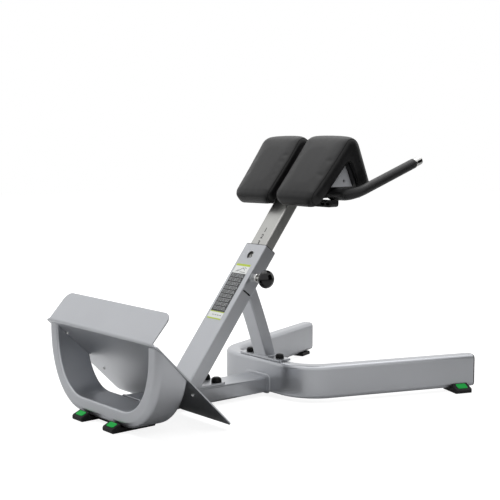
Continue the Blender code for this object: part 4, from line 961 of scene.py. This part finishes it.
class BENCH_OT_hole_numbers(bpy.types.Operator):
    """Plain numbers on the post, one for each pin hole"""
    bl_idname = "bench.hole_numbers"
    bl_label = "Number the holes"

    POST_FRONT, DIGIT_Y, WINDOW_DROP, HOLE_PITCH = -0.019, 0.001, 0.040, 0.025
    HOLES, IN_WINDOW = 10, 5
    TEXT_SIZE, THICK, BOLDER = 1.35, 0.00012, 0.0006

    def execute(self, context):
        digits = []
        for hole in range(1, self.HOLES + 1):
            along = -self.WINDOW_DROP + (self.IN_WINDOW - hole) * self.HOLE_PITCH
            clear_choice()
            bpy.ops.object.text_add(location=on_post(self.POST_FRONT, self.DIGIT_Y, along),
                                    rotation=turned_to(-POST_REARWARD, UP_POST))
            size = context.scene.bench_sizes.digit_height * self.TEXT_SIZE
            adjust(context.object.data, body=str(hole), size=size, extrude=self.THICK,
                   offset=self.BOLDER, align_x="CENTER", align_y="CENTER")
            bpy.ops.object.convert(target="MESH")
            digits.append(context.object)
        settle(joined(digits), "hole_numbers", "black_plastic", "post", finish="ink")
        return {"FINISHED"}


class BENCH_OT_label(bpy.types.Operator):
    """Film label on the sleeve: stripes, a line drawing and rows of plain bars"""
    bl_idname = "bench.label"
    bl_label = "Stick the label on"

    FACE, LAYER, STROKE = -0.0251, 0.0001, 0.0016
    LEFT, RIGHT, TOP, BOTTOM = 0.0375, -0.0310, -0.0770, -0.2840
    STRIPES = ((TOP, -0.0848), (-0.2562, -0.2590), (-0.2795, BOTTOM))
    PANEL = (-0.1125, -0.2560)
    BAR_GROUPS, GROUP_PITCH, FIRST_ROW, ROWS, ROW_PITCH = 9, 0.0154, -0.1160, 3, 0.0042
    BAR_LENGTHS = (0.011, 0.007, 0.014, 0.005, 0.009, 0.012, 0.006)
    BAR_HEIGHT, BAR_GAP, MARGIN = 0.0015, 0.0022, 0.004
    # lines of a sloping bench, from and to, as places across and along the sleeve
    BENCH = (((0.026, -0.1070), (0.014, -0.1000)), ((0.018, -0.1070), (-0.004, -0.0905)),
             ((-0.004, -0.0905), (-0.016, -0.1000)), ((0.004, -0.1070), (-0.022, -0.1070)),
             ((-0.010, -0.0900), (-0.020, -0.0915)))
    DASHES = tuple(((0.020 - i * 0.012, -0.2690), (0.012 - i * 0.012, -0.2690)) for i in range(4))

    def execute(self, context):
        self.stick([self.strip(self.TOP, self.BOTTOM, 0.0)], "label_film", "label_white")
        self.stick([self.strip(a, b) for a, b in self.STRIPES], "label_stripes", "label_lime")
        self.stick([self.strip(*self.PANEL)], "label_panel", "label_panel")
        self.stick(self.bars(), "label_bars", "label_line")
        self.stick([self.stroke(*ends) for ends in self.BENCH + self.DASHES], "label_drawing",
                   "label_panel")
        return {"FINISHED"}

    def stick(self, patches, name, finish):
        settle(joined(patches), name, "green_insert", "frame", finish=finish)

    def patch(self, y0, y1, along0, along1, lift):
        """Thin raised patch between two places across and two along the sleeve."""
        place = on_post(self.FACE - lift - self.LAYER / 2, (y0 + y1) / 2, (along0 + along1) / 2)
        return block(place, (abs(y0 - y1), abs(along0 - along1), self.LAYER),
                     turned_to(-POST_REARWARD, UP_POST))

    def strip(self, along0, along1, lift=LAYER):
        """Patch as wide as the label."""
        return self.patch(self.LEFT, self.RIGHT, along0, along1, lift)

    def bars(self):
        """Groups of rows on the panel, each row broken into bars of uneven length."""
        patches = []
        for group in range(self.BAR_GROUPS):
            for row in range(self.ROWS):
                along = self.FIRST_ROW - group * self.GROUP_PITCH - row * self.ROW_PITCH
                y = self.LEFT - self.MARGIN
                while y > self.RIGHT + 2 * self.MARGIN:
                    length = self.BAR_LENGTHS[len(patches) % len(self.BAR_LENGTHS)]
                    end = max(y - length, self.RIGHT + self.MARGIN)
                    bottom = along - self.BAR_HEIGHT
                    patches.append(self.patch(y, end, along, bottom, 2 * self.LAYER))
                    y = end - self.BAR_GAP
        return patches

    def stroke(self, start, end):
        """Straight line of the drawing, between two places on the sleeve."""
        (y0, a0), (y1, a1) = start, end
        middle = on_post(self.FACE - 2.5 * self.LAYER, (y0 + y1) / 2, (a0 + a1) / 2)
        heading = (Y_AXIS * (y1 - y0) + UP_POST * (a1 - a0)).normalized()
        return block(middle, (self.STROKE, math.hypot(y1 - y0, a1 - a0), self.LAYER),
                     turned_to(-POST_REARWARD, heading))


class BENCH_OT_stage(bpy.types.Operator):
    """Camera, lamps, room and floor"""
    bl_idname = "bench.stage"
    bl_label = "Set the stage"

    CAMERA_PLACE = (-2.19332, -2.60540, 0.82465)
    CAMERA_TURN = (math.radians(84.126), 0.0, math.radians(-39.863))
    LENS, SENSOR = 76.322, 36.0
    LIT_PLACE = Vector((0.0, 0.0, 0.35))
    FLOOR_SIZE, FLOOR_DROP = 24.0, 0.0006
    # the floor changes between these distances from the bench's middle
    NEAR, FAR = 0.6, 2.2

    def execute(self, context):
        clear_choice()
        scene = context.scene
        light = scene.bench_light
        scene.view_settings.view_transform = "Standard"
        bpy.ops.object.camera_add(location=self.CAMERA_PLACE, rotation=self.CAMERA_TURN)
        scene.camera = context.object
        scene.camera.name = "camera"
        adjust(scene.camera.data, lens=self.LENS, sensor_width=self.SENSOR)
        self.hang_lamp("key_lamp", (-1.4, 3.0, 2.8), 2.0, light.key_power, False)
        self.hang_lamp("fill_lamp", (-0.2, -2.2, 3.0), 2.0, light.fill_power, False)
        self.hang_lamp("top_lamp", (0.6, 0.5, 3.5), 4.0, light.top_power, True)
        self.paint_room(scene, light.room_strength)
        self.dark_card("rear_card", (2.1, -2.5, 1.30), (math.radians(90), 0.0, math.radians(40)),
                       (2.6, 2.24, 1.0), 0.01)
        # painted shadow: the shade card is a dark sheet on the floor under the bench's front that
        # only reflections show, standing in for the bench's shadow there
        self.dark_card("shade_card", (-0.26, -0.12, 0.0006), (0.0, 0.0, 0.0), (0.34, 0.30, 1.0),
                       0.20)
        floor_place = (0.0, 0.0, -self.FLOOR_DROP)
        bpy.ops.mesh.primitive_plane_add(size=self.FLOOR_SIZE, location=floor_place)
        floor = context.object
        floor.name = "floor"
        floor.data.materials.append(self.floor_material())
        return {"FINISHED"}

    def hang_lamp(self, name, place, size, power, mirrored):
        """Square lamp aimed at the bench; one that isn't mirrored doesn't show in gloss."""
        aim = (self.LIT_PLACE - Vector(place)).to_track_quat("-Z", "Y").to_euler()
        bpy.ops.object.light_add(type="AREA", location=place, rotation=aim)
        lamp = bpy.context.object
        adjust(lamp, name=name, visible_glossy=mirrored)
        adjust(lamp.data, shape="SQUARE", size=size, energy=power)

    def dark_card(self, name, place, turn, size, level):
        """Dark card that only gloss shows; it darkens sides and undersides as in the photo."""
        clear_choice()
        bpy.ops.mesh.primitive_plane_add(size=1.0, location=place, rotation=turn)
        card = bpy.context.object
        card.name = name
        card.scale = size
        material = new_material(name)[0]
        dress(material, Base_Color=grey(level), Roughness=1.0, Specular_IOR_Level=0.0)
        card.data.materials.append(material)
        card.visible_camera = card.visible_diffuse = card.visible_shadow = False
        card.visible_transmission = False

    def either(self, tree, first, second):
        return add_node(tree, "Math", operation="MAXIMUM", __0=first, __1=second).outputs[0]

    def paint_room(self, scene, strength):
        """White for the camera, gloss and glass; softer where it lights the bench."""
        scene.world = bpy.data.worlds.new("room")
        tree = empty_tree(scene.world)
        ray = add_node(tree, "LightPath").outputs
        shown = self.either(tree, ray["Is Camera Ray"], ray["Is Glossy Ray"])
        seen = self.either(tree, shown, ray["Is Transmission Ray"])
        level = spread(tree, seen, strength, 1.0)
        room = add_node(tree, "Background", Color=grey(1.0), Strength=level)
        add_node(tree, "OutputWorld", Surface=room.outputs["Background"])

    def floor_material(self):
        """Pale floor that reads as white and keeps a faint shadow of the bench."""
        material = bpy.data.materials.new("pale_floor")
        tree = empty_tree(material)
        ray = add_node(tree, "LightPath").outputs
        place = add_node(tree, "TexCoord").outputs["Object"]
        reach = add_node(tree, "VectorMath", operation="LENGTH", __0=place).outputs["Value"]
        far = add_node(tree, "MapRange", Value=reach, From_Min=self.NEAR,
                       From_Max=self.FAR).outputs["Result"]
        plain = add_node(tree, "BsdfDiffuse", Color=grey(0.28))
        mirrored = add_node(tree, "BsdfDiffuse", Color=spread(tree, far, 0.85, 0.65))
        shadowed = add_node(tree, "BsdfDiffuse", Color=grey(0.34))
        level = spread(tree, far, 0.88, 1.0)
        glow = add_node(tree, "Emission", Color=grey(1.0), Strength=level)
        bright = add_node(tree, "AddShader", __0=shadowed.outputs[0], __1=glow.outputs[0])
        gloss = self.either(tree, ray["Is Glossy Ray"], ray["Is Transmission Ray"])
        unseen = add_node(tree, "MixShader", __0=gloss, __1=plain.outputs[0],
                          __2=mirrored.outputs[0])
        mixed = add_node(tree, "MixShader", __0=ray["Is Camera Ray"], __1=unseen.outputs[0],
                         __2=bright.outputs[0])
        add_node(tree, "OutputMaterial", Surface=mixed.outputs[0])
        return material


class BENCH_PT_panel(bpy.types.Panel):
    """Bench pieces in the sidebar"""
    bl_idname = "BENCH_PT_panel"
    bl_label = "Hyperextension bench"
    bl_space_type = "VIEW_3D"
    bl_region_type = "UI"
    bl_category = "Bench"

    def draw(self, context):
        column = self.layout.column(align=True)
        for operator in OPERATORS:
            column.operator(operator.bl_idname)


OPERATORS = (BENCH_OT_finishes, BENCH_OT_hoop, BENCH_OT_foot_plate, BENCH_OT_foot_mat,
             BENCH_OT_rear_legs, BENCH_OT_welds, BENCH_OT_handlebar, BENCH_OT_knob, BENCH_OT_pads,
             BENCH_OT_hole_numbers, BENCH_OT_label, BENCH_OT_stage)
GROUPS = {"bench_colours": BenchColours, "bench_sizes": BenchSizes, "bench_light": BenchLight}


def register():
    for name, group in GROUPS.items():
        bpy.utils.register_class(group)
        setattr(bpy.types.Scene, name, bpy.props.PointerProperty(type=group))
    for cls in (*OPERATORS, BENCH_PT_panel):
        bpy.utils.register_class(cls)


def unregister():
    for cls in (BENCH_PT_panel, *OPERATORS):
        bpy.utils.unregister_class(cls)
    for name, group in GROUPS.items():
        delattr(bpy.types.Scene, name)
        bpy.utils.unregister_class(group)


def main():
    register()
    for operator in OPERATORS:
        group, name = operator.bl_idname.split(".")
        getattr(getattr(bpy.ops, group), name)()


if __name__ == "__main__":
    main()
